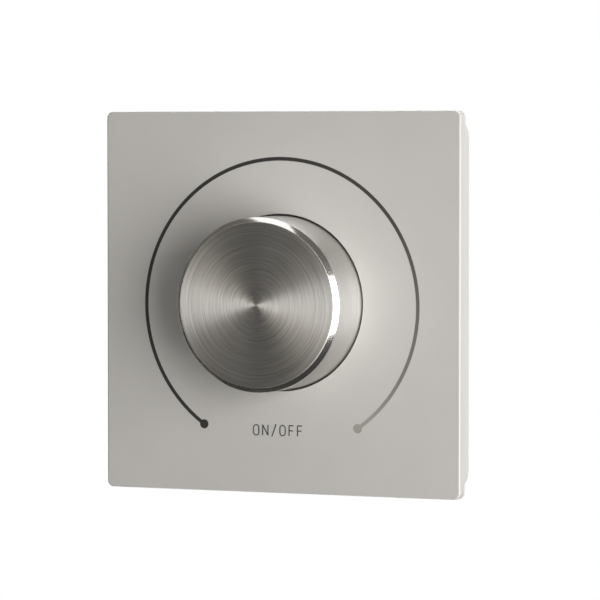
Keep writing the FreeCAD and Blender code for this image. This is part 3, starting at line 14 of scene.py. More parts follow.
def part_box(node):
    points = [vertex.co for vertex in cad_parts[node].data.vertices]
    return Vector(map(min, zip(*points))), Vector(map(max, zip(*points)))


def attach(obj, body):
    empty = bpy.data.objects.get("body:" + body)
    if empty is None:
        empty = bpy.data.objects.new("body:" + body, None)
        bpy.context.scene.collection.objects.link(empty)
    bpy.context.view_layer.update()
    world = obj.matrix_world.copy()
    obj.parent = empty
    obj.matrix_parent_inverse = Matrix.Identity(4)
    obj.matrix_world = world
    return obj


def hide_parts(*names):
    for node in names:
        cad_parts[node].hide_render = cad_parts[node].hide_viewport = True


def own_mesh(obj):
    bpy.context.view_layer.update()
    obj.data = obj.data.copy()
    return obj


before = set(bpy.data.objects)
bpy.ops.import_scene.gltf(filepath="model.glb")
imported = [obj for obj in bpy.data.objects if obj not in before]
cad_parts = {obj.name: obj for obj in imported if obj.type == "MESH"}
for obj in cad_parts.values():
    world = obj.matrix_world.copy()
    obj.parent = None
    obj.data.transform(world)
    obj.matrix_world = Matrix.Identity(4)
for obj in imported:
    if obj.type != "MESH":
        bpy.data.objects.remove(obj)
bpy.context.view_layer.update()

MM = 0.001
WELD_WITHIN = 0.0001 * MM

# Camera, as the photograph was taken

FOCAL_PIXELS = 3584
IMAGE_PIXELS = 600
SENSOR_MM = 36
AZIMUTH = math.radians(22.321)
ELEVATION = math.radians(2.509)
DISTANCE = 803.9 * MM
TARGET = Vector((4.816 * MM, -7 * MM, 0.674 * MM))

# The knob, from its node's box

KNOB_LOW, KNOB_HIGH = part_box("knob_shell")
KNOB_FRONT = KNOB_LOW.y
KNOB_BACK = KNOB_HIGH.y
KNOB_RADIUS = KNOB_HIGH.x
KNOB_CHAMFER = 1.1 * MM
KNOB_WALL = 1.0 * MM
KNOB_FACE = 1.2 * MM
EDGE_BREAK = 0.1 * MM
EDGE_STEPS = 4
FACE_RINGS = 48
SIDE_RINGS = 12
KNOB_SEGMENTS = 256
DEEP_RINGS = [3.9 * MM, 8.0 * MM, 9.4 * MM, 14.2 * MM, 15.6 * MM, 16.4 * MM]
DEEP_RING_HALF = 0.13 * MM
DEEP_RING_TONE = 0.72
STREAK_TUBE = 0.5 * MM
LINE_DEPTH = 0.0012 * MM

# How much redder and less blue than a plain grey the silver and the aluminium are

WARM = 0.05
RED_SHARE = 0.7

# The plate and the scale engraved in it

PLATE_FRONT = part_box("front_plate")[0].y
SCALE_RADIUS = 33.0 * MM
SCALE_WIDTH = 0.85 * MM
SCALE_DEPTH = 0.2 * MM
SCALE_DROP = 0.67 * MM
SCALE_OPEN = math.radians(34.5)
SCALE_STEPS = 220
SCALE_TONES = [(0.0, 52), (0.2, 52), (0.22, 176), (0.36, 172), (0.42, 133), (0.5, 110),
               (0.55, 90), (0.6, 74), (0.7, 58), (0.78, 52)]
DOT_RADIUS = 1.05 * MM
DOT_STEPS = 48
PAINT_BELOW = 0.01 * MM
PAINT_CLEAR = 0.01 * MM

# The printed switch positions under the knob

PRINT_BASELINE = -30.0 * MM
PRINT_HEIGHT = 2.35 * MM
PRINT_CENTRE = -0.6 * MM
PRINT_STROKE = 0.26 * MM
PRINT_THICK = 0.03 * MM

# The studio

FLOOR_LEVEL = -700 * MM
FLOOR_REACH = 1500 * MM
FLOOR_STEPS = 96
FLOOR_GLOW = 0.86
FLAG_REACH = 6000 * MM
FLAG_GAP = 380 * MM
WORLD_FILL = 0.12
FILL_COLOUR = (1, 0.98, 0.92)

# The return spring in the push switch

SPRING_NODE = "switch_spring"
SPRING_TURNS = 3
SPRING_STEPS = 48
SPRING_SIDES = 12
SPRING_WIRE = 0.225 * MM


def node_group(holder):
    """The node tree of a material or a world."""
    holder.use_nodes = True
    return holder.node_tree


class Finish:
    """A Principled material whose colour, roughness and relief come from procedural nodes."""

    def __init__(self, name, roughness=0.5, metallic=0.0, **sockets):
        self.material = bpy.data.materials.new(name)
        self.tree = node_group(self.material)
        self.shader = self.tree.nodes["Principled BSDF"]
        self.shader.inputs["Roughness"].default_value = roughness
        self.shader.inputs["Metallic"].default_value = metallic
        for socket, value in sockets.items():
            self.shader.inputs[socket.replace("_", " ")].default_value = value
        self.place = self.tree.nodes.new("ShaderNodeTexCoord").outputs["Object"]

    def node(self, kind, **settings):
        made = self.tree.nodes.new(kind)
        for key, value in settings.items():
            setattr(made, key, value)
        return made

    def link(self, output, target):
        self.tree.links.new(output, target)

    def feed(self, target, value):
        """Links an output to a socket, or sets the socket to a plain value."""
        if isinstance(value, bpy.types.NodeSocket):
            self.link(value, target)
        elif value is not None:
            target.default_value = value

    def maths(self, operation, first, second=None):
        made = self.node("ShaderNodeMath", operation=operation)
        self.feed(made.inputs[0], first)
        self.feed(made.inputs[1], second)
        return made.outputs[0]

    def vector_maths(self, operation, first, second=None):
        made = self.node("ShaderNodeVectorMath", operation=operation)
        self.feed(made.inputs[0], first)
        self.feed(made.inputs[1], second)
        return made

    def multiplied(self, colour, by, share=1):
        """A colour multiplied by another, as far as share says."""
        made = self.node("ShaderNodeMix", data_type="RGBA", blend_type="MULTIPLY")
        self.feed(made.inputs["Factor"], share)
        self.link(colour, made.inputs["A"])
        self.link(by, made.inputs["B"])
        return made.outputs["Result"]

    def noise(self, size, stretch=(1, 1, 1), detail=3, place=None, rough=0.5):
        """Noise whose grains are about size metres, drawn out along each axis by stretch."""
        scaled = self.vector_maths("MULTIPLY", place or self.place,
                                   tuple(1 / (size * factor) for factor in stretch))
        made = self.node("ShaderNodeTexNoise")
        made.inputs["Scale"].default_value = 1
        made.inputs["Detail"].default_value = detail
        made.inputs["Roughness"].default_value = rough
        self.link(scaled.outputs[0], made.inputs["Vector"])
        return made.outputs["Fac"]

    def ramp(self, factor, *stops, linear=True):
        """A colour ramp: each stop is a place from 0 to 1 and a colour."""
        made = self.node("ShaderNodeValToRGB")
        made.color_ramp.interpolation = "LINEAR" if linear else "CONSTANT"
        elements = made.color_ramp.elements
        while len(elements) < len(stops):
            elements.new(0.5)
        for element, (place, colour) in zip(elements, stops):
            element.position = place
            element.color = (*colour, 1)
        self.link(factor, made.inputs["Fac"])
        return made.outputs["Color"]

    def remap(self, factor, low, high, low_in=0.3, high_in=0.7):
        """A factor brought from the range low_in to high_in into the range low to high."""
        made = self.node("ShaderNodeMapRange")
        for socket, value in zip(("From Min", "From Max", "To Min", "To Max"),
                                 (low_in, high_in, low, high)):
            made.inputs[socket].default_value = value
        self.link(factor, made.inputs["Value"])
        return made.outputs["Result"]

    def colour(self, factor, dark, light, low_in=0.3, high_in=0.7):
        """The base colour, from dark to light as the factor rises."""
        self.link(self.ramp(factor, (low_in, dark), (high_in, light)),
                  self.shader.inputs["Base Color"])

    def roughness(self, factor, low, high):
        """The roughness, from low to high as the factor rises."""
        self.link(self.remap(factor, low, high), self.shader.inputs["Roughness"])

    def relief(self, factor, depth):
        """Bump whose hills are depth metres high."""
        bump = self.node("ShaderNodeBump")
        bump.inputs["Strength"].default_value = 1
        bump.inputs["Distance"].default_value = depth
        self.link(factor, bump.inputs["Height"])
        self.link(bump.outputs["Normal"], self.shader.inputs["Normal"])

    def turned_round_y(self):
        """Makes the tool marks that stretch the gloss run round the knob's axis."""
        tangent = self.node("ShaderNodeTangent", direction_type="RADIAL", axis="Y")
        self.link(tangent.outputs[0], self.shader.inputs["Tangent"])


def grey(value, warm=0.0):
    """A linear grey from an sRGB level of 0 to 255, warmer where warm is above 0."""
    level = ((value / 255 + 0.055) / 1.055) ** 2.4
    return (level * (1 + RED_SHARE * warm), level, level * (1 - warm))


def shade(colour, factor):
    """A colour made darker or lighter by a factor."""
    return tuple(min(1.0, channel * factor) for channel in colour)


# Metals


def brushed_face():
    """The knob's face: fine turned rings, and a few that the tool cut deeper.

    The noise is read on a thin tube, once round it for a turn of the knob, so its grains
    become long streaks that follow the rings.
    """
    metal = Finish("turned_face", roughness=0.5, metallic=1.0,
                   Anisotropic=0.88, Anisotropic_Rotation=0.25)
    flat = metal.vector_maths("MULTIPLY", metal.place, (1, 0, 1)).outputs[0]
    radius = metal.vector_maths("LENGTH", flat).outputs["Value"]
    heading = metal.vector_maths("NORMALIZE", flat).outputs[0]
    turn = metal.vector_maths("SCALE", heading)
    turn.inputs["Scale"].default_value = STREAK_TUBE
    rings = metal.node("ShaderNodeCombineXYZ")
    metal.link(radius, rings.inputs["Y"])
    streaked = metal.vector_maths("ADD", turn.outputs[0], rings.outputs[0]).outputs[0]
    fine = metal.noise(0.11 * MM, place=streaked, stretch=(5, 1, 5), detail=4)
    broad = metal.noise(0.45 * MM, place=streaked, detail=3)
    both = metal.maths("ADD", metal.maths("MULTIPLY", fine, 0.7),
                       metal.maths("MULTIPLY", broad, 0.3))
    tone = metal.ramp(both, (0.36, grey(174, WARM)), (0.62, grey(214, WARM)))
    stops = [(0.0, (1, 1, 1))]
    for ring in DEEP_RINGS:
        for step, level in ((-1, 1), (0, DEEP_RING_TONE), (1, 1)):
            stops.append(((ring + step * DEEP_RING_HALF) / KNOB_RADIUS, (level,) * 3))
    deep = metal.ramp(metal.maths("MULTIPLY", radius, 1 / KNOB_RADIUS), *stops)
    patches = metal.noise(1.2 * MM, place=streaked, stretch=(0.4, 1, 0.4), detail=1)
    marked = metal.multiplied(tone, by=deep, share=metal.remap(patches, 0.25, 1, 0.4, 0.6))
    metal.link(marked, metal.shader.inputs["Base Color"])
    metal.roughness(fine, 0.46, 0.56)
    metal.relief(fine, LINE_DEPTH)
    metal.turned_round_y()
    return metal.material


def bright_edge():
    """The narrow burnished line where the face meets its chamfer."""
    metal = Finish("burnished_edge", roughness=0.3, metallic=1.0)
    wear = metal.noise(0.8 * MM)
    metal.colour(wear, grey(232, 0.03), grey(250, 0.03))
    metal.roughness(wear, 0.26, 0.38)
    return metal.material


def polished_edge():
    """The knob's chamfer, polished but for faint wipe marks."""
    metal = Finish("polished_edge", roughness=0.15, metallic=1.0)
    wipe = metal.noise(3 * MM, detail=2)
    metal.colour(wipe, grey(226, WARM), grey(238, WARM))
    metal.roughness(wipe, 0.14, 0.17)
    return metal.material


def satin_side():
    """The knob's side: fine lines that run round it."""
    metal = Finish("satin_side", roughness=0.4, metallic=1.0,
                   Anisotropic=0.8, Anisotropic_Rotation=0.25)
    lines = metal.noise(0.14 * MM, stretch=(40, 1, 40), detail=3)
    metal.colour(lines, grey(198, 0.03), grey(214, 0.03))
    metal.roughness(lines, 0.36, 0.46)
    metal.relief(lines, LINE_DEPTH)
    metal.turned_round_y()
    return metal.material


def plain_metal(name, dark, light, roughness, grain=0.25 * MM, stretch=(1, 1, 1), depth=0.001 * MM):
    """A metal with faint streaks, for plated, turned, drawn or extruded pieces."""
    metal = Finish(name, roughness=roughness, metallic=1.0)
    streaks = metal.noise(grain, stretch=stretch)
    tarnish = metal.noise(3 * MM, detail=2)
    metal.colour(metal.maths("MULTIPLY", metal.maths("ADD", streaks, tarnish), 0.5), dark, light)
    metal.roughness(streaks, roughness * 0.8, roughness * 1.25)
    metal.relief(streaks, depth)
    return metal.material


# Mouldings and the rest


def silver_lacquer():
    """The plate: pale silver lacquer with a very fine metallic grain."""
    lacquer = Finish("silver_lacquer", roughness=0.46, metallic=0.08)
    flake = lacquer.noise(0.06 * MM, detail=2)
    cloud = lacquer.noise(9 * MM, detail=2)
    mixed = lacquer.maths("ADD", lacquer.maths("MULTIPLY", flake, 0.7),
                          lacquer.maths("MULTIPLY", cloud, 0.3))
    lacquer.colour(mixed, grey(212, 0.045), grey(220, 0.045))
    lacquer.roughness(flake, 0.42, 0.51)
    lacquer.relief(flake, 0.0004 * MM)
    return lacquer.material


def moulding(name, colour, roughness=0.5, grain=0.12 * MM, depth=0.004 * MM, contrast=0.06):
    """Moulded plastic with a fine eroded grain and faint flow marks."""
    plastic = Finish(name, roughness=roughness)
    erosion = plastic.noise(grain, detail=3)
    flow = plastic.noise(7 * MM, detail=2)
    mixed = plastic.maths("MULTIPLY", plastic.maths("ADD", erosion, flow), 0.5)
    plastic.colour(mixed, shade(colour, 1 - contrast), shade(colour, 1 + contrast))
    plastic.roughness(erosion, roughness * 0.85, roughness * 1.15)
    plastic.relief(erosion, depth)
    return plastic.material


def scale_paint():
    """Dark paint that pales along the right of the scale.

    SCALE_TONES gives its grey along a turn that starts and ends at the left and goes by way
    of the bottom.
    """
    paint = Finish("scale_paint", roughness=0.45)
    split = paint.node("ShaderNodeSeparateXYZ")
    paint.link(paint.place, split.inputs[0])
    up = paint.maths("ADD", split.outputs["Z"], SCALE_DROP)
    angle = paint.maths("ARCTAN2", up, split.outputs["X"])
    share = paint.remap(angle, 0, 1, -math.pi, math.pi)
    tone = paint.ramp(share, *[(place, grey(level, 0.1)) for place, level in SCALE_TONES])
    grain = paint.noise(0.1 * MM)
    speckle = paint.ramp(grain, (0.3, (0.9, 0.9, 0.9)), (0.7, (1, 1, 1)))
    paint.link(paint.multiplied(tone, by=speckle), paint.shader.inputs["Base Color"])
    paint.roughness(grain, 0.4, 0.5)
    return paint.material


def print_ink():
    """Dark grey printing ink."""
    ink = Finish("print_ink", roughness=0.5)
    speck = ink.noise(0.08 * MM)
    ink.colour(speck, grey(66, 0.03), grey(76, 0.03))
    ink.roughness(speck, 0.45, 0.55)
    return ink.material


def green_board():
    """Green lacquer over copper: lands and tracks show as paler green."""
    board = Finish("green_board", roughness=0.3)
    tracks = board.node("ShaderNodeTexVoronoi", feature="DISTANCE_TO_EDGE")
    tracks.inputs["Scale"].default_value = 1 / (4 * MM)
    board.link(board.place, tracks.inputs["Vector"])
    line = board.remap(tracks.outputs["Distance"], 0, 1, 0.06, 0.12)
    board.colour(line, (0.02, 0.13, 0.05), (0.035, 0.2, 0.08), 0.2, 0.8)
    board.relief(line, 0.03 * MM)
    weave = board.noise(0.3 * MM)
    board.roughness(weave, 0.25, 0.4)
    return board.material


def sleeve():
    """The capacitor's dark blue sleeve, shrunk over the can."""
    film = Finish("shrunk_sleeve", roughness=0.3)
    wrinkle = film.noise(0.8 * MM, stretch=(1, 6, 1))
    film.colour(wrinkle, (0.02, 0.035, 0.11), (0.03, 0.05, 0.16))
    film.roughness(wrinkle, 0.25, 0.38)
    film.relief(wrinkle, 0.02 * MM)
    return film.material


def resistor_coat():
    """Beige coating with colour rings round the body, which lies along Z."""
    coat = Finish("resistor_coat", roughness=0.35)
    low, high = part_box("gate_resistors")
    split = coat.node("ShaderNodeSeparateXYZ")
    coat.link(coat.place, split.inputs[0])
    share = coat.remap(split.outputs["Z"], 0, 1, low.z, high.z)
    beige = (0.48, 0.36, 0.2)
    bands = [(0.2, 0.03, 0.02), (0.18, 0.02, 0.2), (0.3, 0.12, 0.02), (0.55, 0.38, 0.1)]
    first, pitch, width = 0.28, 0.12, 0.05
    stops = [(0.0, beige)]
    for index, band in enumerate(bands):
        start = first + index * pitch
        stops += [(start, band), (start + width, beige)]
    coat.link(coat.ramp(share, *stops, linear=False), coat.shader.inputs["Base Color"])
    lumps = coat.noise(0.5 * MM)
    coat.roughness(lumps, 0.3, 0.45)
    coat.relief(lumps, 0.02 * MM)
    return coat.material


def clear_glass():
    """The fuse's tube, drawn along Z."""
    glass = Finish("clear_glass", roughness=0.02, Transmission_Weight=1.0, IOR=1.5)
    streak = glass.noise(1.5 * MM, stretch=(1, 1, 6))
    glass.colour(streak, (0.9, 0.95, 0.95), (0.97, 0.99, 0.99))
    glass.roughness(streak, 0.01, 0.05)
    return glass.material


def enamel_wire():
    """Enamelled copper whose turns lie beside each other."""
    wire = Finish("enamel_wire", roughness=0.28, metallic=0.9)
    glow = wire.noise(0.6 * MM, stretch=(4, 1, 4))
    wire.colour(glow, (0.38, 0.12, 0.04), (0.6, 0.22, 0.08))
    wire.roughness(glow, 0.22, 0.36)
    wire.relief(glow, 0.01 * MM)
    return wire.material


def materials_by_slot():
    """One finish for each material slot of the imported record."""
    return {
        "plate": silver_lacquer(),
        "frame": moulding("frame_moulding", grey(216, 0.02), 0.5, contrast=0.03),
        "knob_metal": satin_side(),
        "knob_insert": moulding("insert_moulding", grey(62), 0.55),
        "spring_steel": plain_metal("spring_steel", grey(120), grey(178), 0.3),
        "shaft": plain_metal("turned_shaft", grey(170), grey(205), 0.28, stretch=(6, 0.5, 6)),
        "brass": plain_metal("brass", (0.5, 0.33, 0.1), (0.72, 0.5, 0.19), 0.3),
        "zinc_steel": plain_metal("zinc_plate", grey(160), grey(205), 0.33, grain=0.6 * MM),
        "pot_plastic": moulding("case_moulding", grey(46), 0.5),
        "wafer": moulding("laminate", (0.2, 0.1, 0.035), 0.5, grain=0.5 * MM, contrast=0.2),
        "carbon": moulding("carbon_print", grey(28), 0.6, grain=0.06 * MM),
        "rotor_plastic": moulding("rotor_moulding", grey(214, 0.02), 0.45),
        "switch_plastic": moulding("switch_moulding", (0.035, 0.04, 0.05), 0.45),
        "housing": moulding("housing_moulding", grey(72), 0.52, grain=0.2 * MM, depth=0.01 * MM),
        "board": green_board(),
        "ferrite": moulding("ferrite", grey(58), 0.4, grain=0.3 * MM, contrast=0.25),
        "copper": enamel_wire(),
        "film_box": moulding("film_box", (0.5, 0.28, 0.02), 0.3, depth=0.001 * MM),
        "can": sleeve(),
        "resistor": resistor_coat(),
        "epoxy": moulding("epoxy", grey(38), 0.5, grain=0.08 * MM),
        "tinned": plain_metal("tinned_wire", grey(170), grey(205), 0.38),
        "sink": plain_metal("extruded_sink", grey(150), grey(190), 0.36, stretch=(1, 12, 1)),
        "fuse_glass": clear_glass(),
        "nickel": plain_metal("nickel_plate", grey(175, 0.03), grey(210, 0.03), 0.2),
        "block": moulding("block_moulding", (0.05, 0.054, 0.062), 0.4),
    }


# Meshes


def new_piece(name, vertices, faces, materials, smooth=True, face_materials=None):
    """An object with a mesh of its own, linked to the scene."""
    mesh = bpy.data.meshes.new(name)
    mesh.from_pydata(vertices, [], faces)
    for material in materials:
        mesh.materials.append(material)
    if face_materials:
        mesh.polygons.foreach_set("material_index", face_materials)
    mesh.polygons.foreach_set("use_smooth", [smooth] * len(mesh.polygons))
    piece = bpy.data.objects.new(name, mesh)
    bpy.context.scene.collection.objects.link(piece)
    return piece


def tidy_normals(piece, sharp_degrees=30):
    """Makes the faces look outwards and keeps the edges that are sharp in the real piece."""
    shape = bmesh.new()
    shape.from_mesh(piece.data)
    bmesh.ops.remove_doubles(shape, verts=shape.verts, dist=WELD_WITHIN)
    bmesh.ops.recalc_face_normals(shape, faces=shape.faces)
    limit = math.radians(sharp_degrees)
    for edge in shape.edges:
        edge.smooth = not (len(edge.link_faces) == 2 and edge.calc_face_angle(0) > limit)
    shape.to_mesh(piece.data)
    shape.free()


def arc_points(centre, radius, start, stop, steps):
    """Points of an arc, as pairs, from start to stop in radians."""
    points = []
    for step in range(steps + 1):
        angle = start + (stop - start) * step / steps
        points.append((centre[0] + radius * math.cos(angle), centre[1] + radius * math.sin(angle)))
    return points


def lathe(name, profile, segments, materials, bands):
    """A closed profile of (radius, y) pairs turned round the Y axis.

    bands gives each span of the profile the number of its material. A point on the axis
    becomes one vertex.
    """
    vertices = []
    rings = []
    for radius, y in profile:
        if radius == 0:
            rings.append([len(vertices)] * segments)
            vertices.append((0, y, 0))
            continue
        rings.append(list(range(len(vertices), len(vertices) + segments)))
        for step in range(segments):
            angle = 2 * math.pi * step / segments
            vertices.append((radius * math.cos(angle), y, radius * math.sin(angle)))
    faces = []
    chosen = []
    for span in range(len(profile) - 1):
        first, second = rings[span], rings[span + 1]
        for step in range(segments):
            after = (step + 1) % segments
            corners = [first[step], first[after], second[after], second[step]]
            face = list(dict.fromkeys(corners))
            if len(face) > 2:
                faces.append(face)
                chosen.append(bands[span])
    return new_piece(name, vertices, faces, materials, face_materials=chosen)


def knob_profile():
    """The shell's section from the middle of its face round to the middle of its inside.

    With it comes the finish of each span: 0 face, 1 chamfer, 2 side, 3 face's edge.
    """
    edge = EDGE_BREAK
    face_end = KNOB_RADIUS - KNOB_CHAMFER
    tilt = math.radians(45)
    turn_radius = edge / math.tan(tilt / 2)
    points = [(0, KNOB_FRONT)]
    for ring in range(1, FACE_RINGS + 1):
        points.append(((face_end - edge) * ring / FACE_RINGS, KNOB_FRONT))
    bands = [0] * FACE_RINGS
    front_centre = (face_end - edge, KNOB_FRONT + turn_radius)
    points += arc_points(front_centre, turn_radius, -2 * tilt, -tilt, EDGE_STEPS)[1:]
    bands += [3] * EDGE_STEPS
    side_start = KNOB_FRONT + KNOB_CHAMFER + edge
    side_centre = (KNOB_RADIUS - turn_radius, side_start)
    points += arc_points(side_centre, turn_radius, -tilt, 0, EDGE_STEPS)
    bands += [1]
    side_end = KNOB_BACK - edge
    for ring in range(1, SIDE_RINGS + 1):
        points.append((KNOB_RADIUS, side_start + (side_end - side_start) * ring / SIDE_RINGS))
    bore = KNOB_RADIUS - KNOB_WALL
    inside = KNOB_FRONT + KNOB_FACE
    points += [(KNOB_RADIUS - edge, KNOB_BACK), (bore, KNOB_BACK), (bore, inside), (0, inside)]
    bands += [2] * (len(points) - 1 - len(bands))
    return points, bands


def turned_knob():
    """The knob's shell as a fine turned mesh: brushed face, polished chamfer, satin side."""
    profile, bands = knob_profile()
    finishes = [brushed_face(), polished_edge(), satin_side(), bright_edge()]
    knob = lathe("turned_knob", profile, KNOB_SEGMENTS, finishes, bands)
    tidy_normals(knob)
    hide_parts("knob_shell")
    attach(knob, "knob")


def extrude_flat(vertices, faces, front, back):
    """Thickens a flat outline in the XZ plane between two places along Y."""
    count = len(vertices)
    solid = [(x, front, z) for x, z in vertices] + [(x, back, z) for x, z in vertices]
    made = [list(face) for face in faces]
    made += [[corner + count for corner in reversed(face)] for face in faces]
    edges = [edge for face in faces for edge in zip(face, face[1:] + face[:1])]
    known = set(edges)
    for first, second in edges:
        if (second, first) not in known:
            made.append([second, first, first + count, second + count])
    return solid, made


def flat_piece(name, vertices, faces, front, back, material):
    """A flat outline on the plate, thickened from y = front to y = back."""
    solid, made = extrude_flat(vertices, faces, front, back)
    piece = new_piece(name, solid, made, [material], smooth=False)
    tidy_normals(piece)
    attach(piece, "base")


def scale_fill():
    """The paint in the engraved scale: an open ring with a dot at each end."""
    start = math.radians(-90) + SCALE_OPEN
    stop = math.radians(270) - SCALE_OPEN
    inner = SCALE_RADIUS - SCALE_WIDTH / 2 + PAINT_CLEAR
    outer = SCALE_RADIUS + SCALE_WIDTH / 2 - PAINT_CLEAR
    front = PLATE_FRONT + PAINT_BELOW
    back = PLATE_FRONT + SCALE_DEPTH
    centre = (0, -SCALE_DROP)
    ring = arc_points(centre, inner, start, stop, SCALE_STEPS)
    ring += arc_points(centre, outer, start, stop, SCALE_STEPS)
    row = SCALE_STEPS + 1
    spans = [[step, step + 1, step + row + 1, step + row] for step in range(SCALE_STEPS)]
    paint = scale_paint()
    flat_piece("scale_band", ring, spans, front, back, paint)
    for side, angle in (("right", start), ("left", stop)):
        middle = (SCALE_RADIUS * math.cos(angle), -SCALE_DROP + SCALE_RADIUS * math.sin(angle))
        rim = arc_points(middle, DOT_RADIUS - PAINT_CLEAR, 0, 2 * math.pi, DOT_STEPS)[:-1]
        disc = [list(range(DOT_STEPS))]
        flat_piece("scale_dot_" + side, rim, disc, front - PAINT_BELOW / 2, back, paint)


# Plain letters of one stroke width. A letter's lines are in units of the capital height,
# and its width is given with them.

LETTER_WIDTH = 0.55
LETTER_SPACE = 0.4
SLASH_REACH = 0.1
ROUND_STEPS = 8


def bowl(width, height):
    """A closed stadium outline for the letter O."""
    radius = width / 2
    low = arc_points((radius, radius), radius, math.pi, 2 * math.pi, ROUND_STEPS)
    high = arc_points((radius, height - radius), radius, 0, math.pi, ROUND_STEPS)
    return low + high + low[:1]


def letter_lines(letter):
    """The width and the lines of O, N, F or the slash."""
    width = LETTER_WIDTH
    if letter == "O":
        return width, [bowl(width, 1)]
    if letter == "N":
        return width, [[(0, 0), (0, 1), (width, 0), (width, 1)]]
    if letter == "F":
        arm, middle = width * 0.85, width * 0.75
        return arm, [[(0, 0), (0, 1), (arm, 1)], [(0, 0.5), (middle, 0.5)]]
    lean = width * 0.8
    return lean, [[(0, -SLASH_REACH), (lean, 1 + SLASH_REACH)]]


def stroke(line, half):
    """A line of even width as one quad for each of its straight runs."""
    vertices = []
    faces = []
    for first, second in zip(line, line[1:]):
        along = Vector((second[0] - first[0], second[1] - first[1])).normalized()
        across = Vector((-along.y, along.x)) * half
        start = len(vertices)
        for point, side in ((first, -1), (second, -1), (second, 1), (first, 1)):
            vertices.append((point[0] + side * across.x, point[1] + side * across.y))
        faces.append([start, start + 1, start + 2, start + 3])
    return vertices, faces


def printed_words():
    """ON and OFF with a slash between them, printed under the knob."""
    scale = PRINT_HEIGHT
    reach = 0
    layout = []
    for letter in "ON/OFF":
        width, lines = letter_lines(letter)
        layout.append((reach, lines))
        reach += width + LETTER_SPACE
    left = PRINT_CENTRE - (reach - LETTER_SPACE) * scale / 2
    ink = print_ink()
    for index, (place, lines) in enumerate(layout):
        vertices = []
        faces = []
        for line in lines:
            points = [(left + (place + x) * scale, PRINT_BASELINE + z * scale) for x, z in line]
            more, quads = stroke(points, PRINT_STROKE / 2)
            faces += [[corner + len(vertices) for corner in quad] for quad in quads]
            vertices += more
        flat_piece("print_%d" % index, vertices, faces, PLATE_FRONT - PRINT_THICK, PLATE_FRONT, ink)


def return_spring(material):
    """The spring as round wire wound round the Y axis, at one length; the real one shortens as the
    knob is pushed.
    """
    low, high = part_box(SPRING_NODE)
    start = low.y + SPRING_WIRE
    span = high.y - low.y - 2 * SPRING_WIRE
    coil_radius = high.x - SPRING_WIRE
    steps = SPRING_STEPS * SPRING_TURNS
    sides = SPRING_SIDES
    rise = span / (2 * math.pi * SPRING_TURNS)
    lean = math.atan2(rise, coil_radius)
    vertices = []
    for step in range(steps + 1):
        turn = 2 * math.pi * SPRING_TURNS * step / steps
        outward = Vector((math.cos(turn), 0, math.sin(turn)))
        ahead = Vector((-math.sin(turn), math.tan(lean), math.cos(turn))).normalized()
        upward = outward.cross(ahead).normalized()
        centre = outward * coil_radius + Vector((0, start + rise * turn, 0))
        for side in range(sides):
            angle = 2 * math.pi * side / sides
            offset = (outward * math.cos(angle) + upward * math.sin(angle)) * SPRING_WIRE
            vertices.append(tuple(centre + offset))
    faces = []
    for step in range(steps):
        for side in range(sides):
            after = (side + 1) % sides
            near, far = step * sides, (step + 1) * sides
            faces.append([near + side, near + after, far + after, far + side])
    faces.append(list(range(sides)))
    faces.append([steps * sides + side for side in range(sides)])
    spring = new_piece("return_spring", vertices, faces, [material])
    tidy_normals(spring, sharp_degrees=60)
    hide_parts(SPRING_NODE)
    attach(spring, "base")
    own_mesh(spring)


def dress_nodes(finishes):
    """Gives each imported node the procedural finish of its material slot."""
    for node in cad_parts.values():
        for holder in node.material_slots:
            slot_name = holder.material.name.split(".")[0]
            if slot_name in finishes:
                holder.material = finishes[slot_name]


# Studio


def look_at(thing, place, target):
    """Puts a lamp or the camera at a place and turns it to the target."""
    thing.location = place
    thing.rotation_mode = "QUATERNION"
    thing.rotation_quaternion = (Vector(target) - Vector(place)).to_track_quat("-Z", "Y")


def area_lamp(name, width, height, strength):
    """A rectangular lamp that the camera looks past. Its strength is the brightness of its face."""
    light = bpy.data.lights.new(name, "AREA")
    light.shape = "RECTANGLE"
    light.size = width
    light.size_y = height
    light.energy = strength * width * height * math.pi
    lamp = bpy.data.objects.new(name, light)
    lamp.visible_camera = False
    bpy.context.scene.collection.objects.link(lamp)
    return lamp


def soft_box(name, direction, distance, width, height, strength, roll=0.0):
    """A soft box towards direction, turned to the part."""
    box = area_lamp(name, width, height, strength)
    look_at(box, Vector(direction).normalized() * distance, (0, 0, 0))
    box.rotation_quaternion = box.rotation_quaternion @ Quaternion((0, 0, 1), math.radians(roll))


def bounce_lamp(name, place, width, height, strength):
    """A small lamp beside the knob that faces the plate and lights no metal.

    It adds to the light that the knob's side throws back at the plate.
    """
    lamp = area_lamp(name, width, height, strength)
    lamp.visible_glossy = False
    look_at(lamp, place, (place[0], 0, place[2]))


def stage_card(name, corners, material):
    """A flat face of the studio: the floor, or a card."""
    card = new_piece(name, corners, [list(range(len(corners)))], [material], smooth=False)
    return card


def card_material(name, brightness):
    """A studio card of even brightness, faintly mottled."""
    card = Finish(name, roughness=1.0, Emission_Strength=brightness)
    card.shader.inputs["Base Color"].default_value = (0, 0, 0, 1)
    mottle = card.noise(300 * MM)
    card.link(card.ramp(mottle, (0.3, (0.96, 0.92, 0.84)), (0.7, (1, 0.96, 0.88))),
              card.shader.inputs["Emission Color"])
    return card.material


def seen_directly(tree):
    """One where the camera looks, also in a mirror or through glass, and nought elsewhere."""
    path = tree.nodes.new("ShaderNodeLightPath")
    sight = path.outputs["Is Camera Ray"]
    for other in ("Is Glossy Ray", "Is Transmission Ray"):
        either = tree.nodes.new("ShaderNodeMath")
        either.operation = "MAXIMUM"
        tree.links.new(sight, either.inputs[0])
        tree.links.new(path.outputs[other], either.inputs[1])
        sight = either.outputs[0]
    return sight


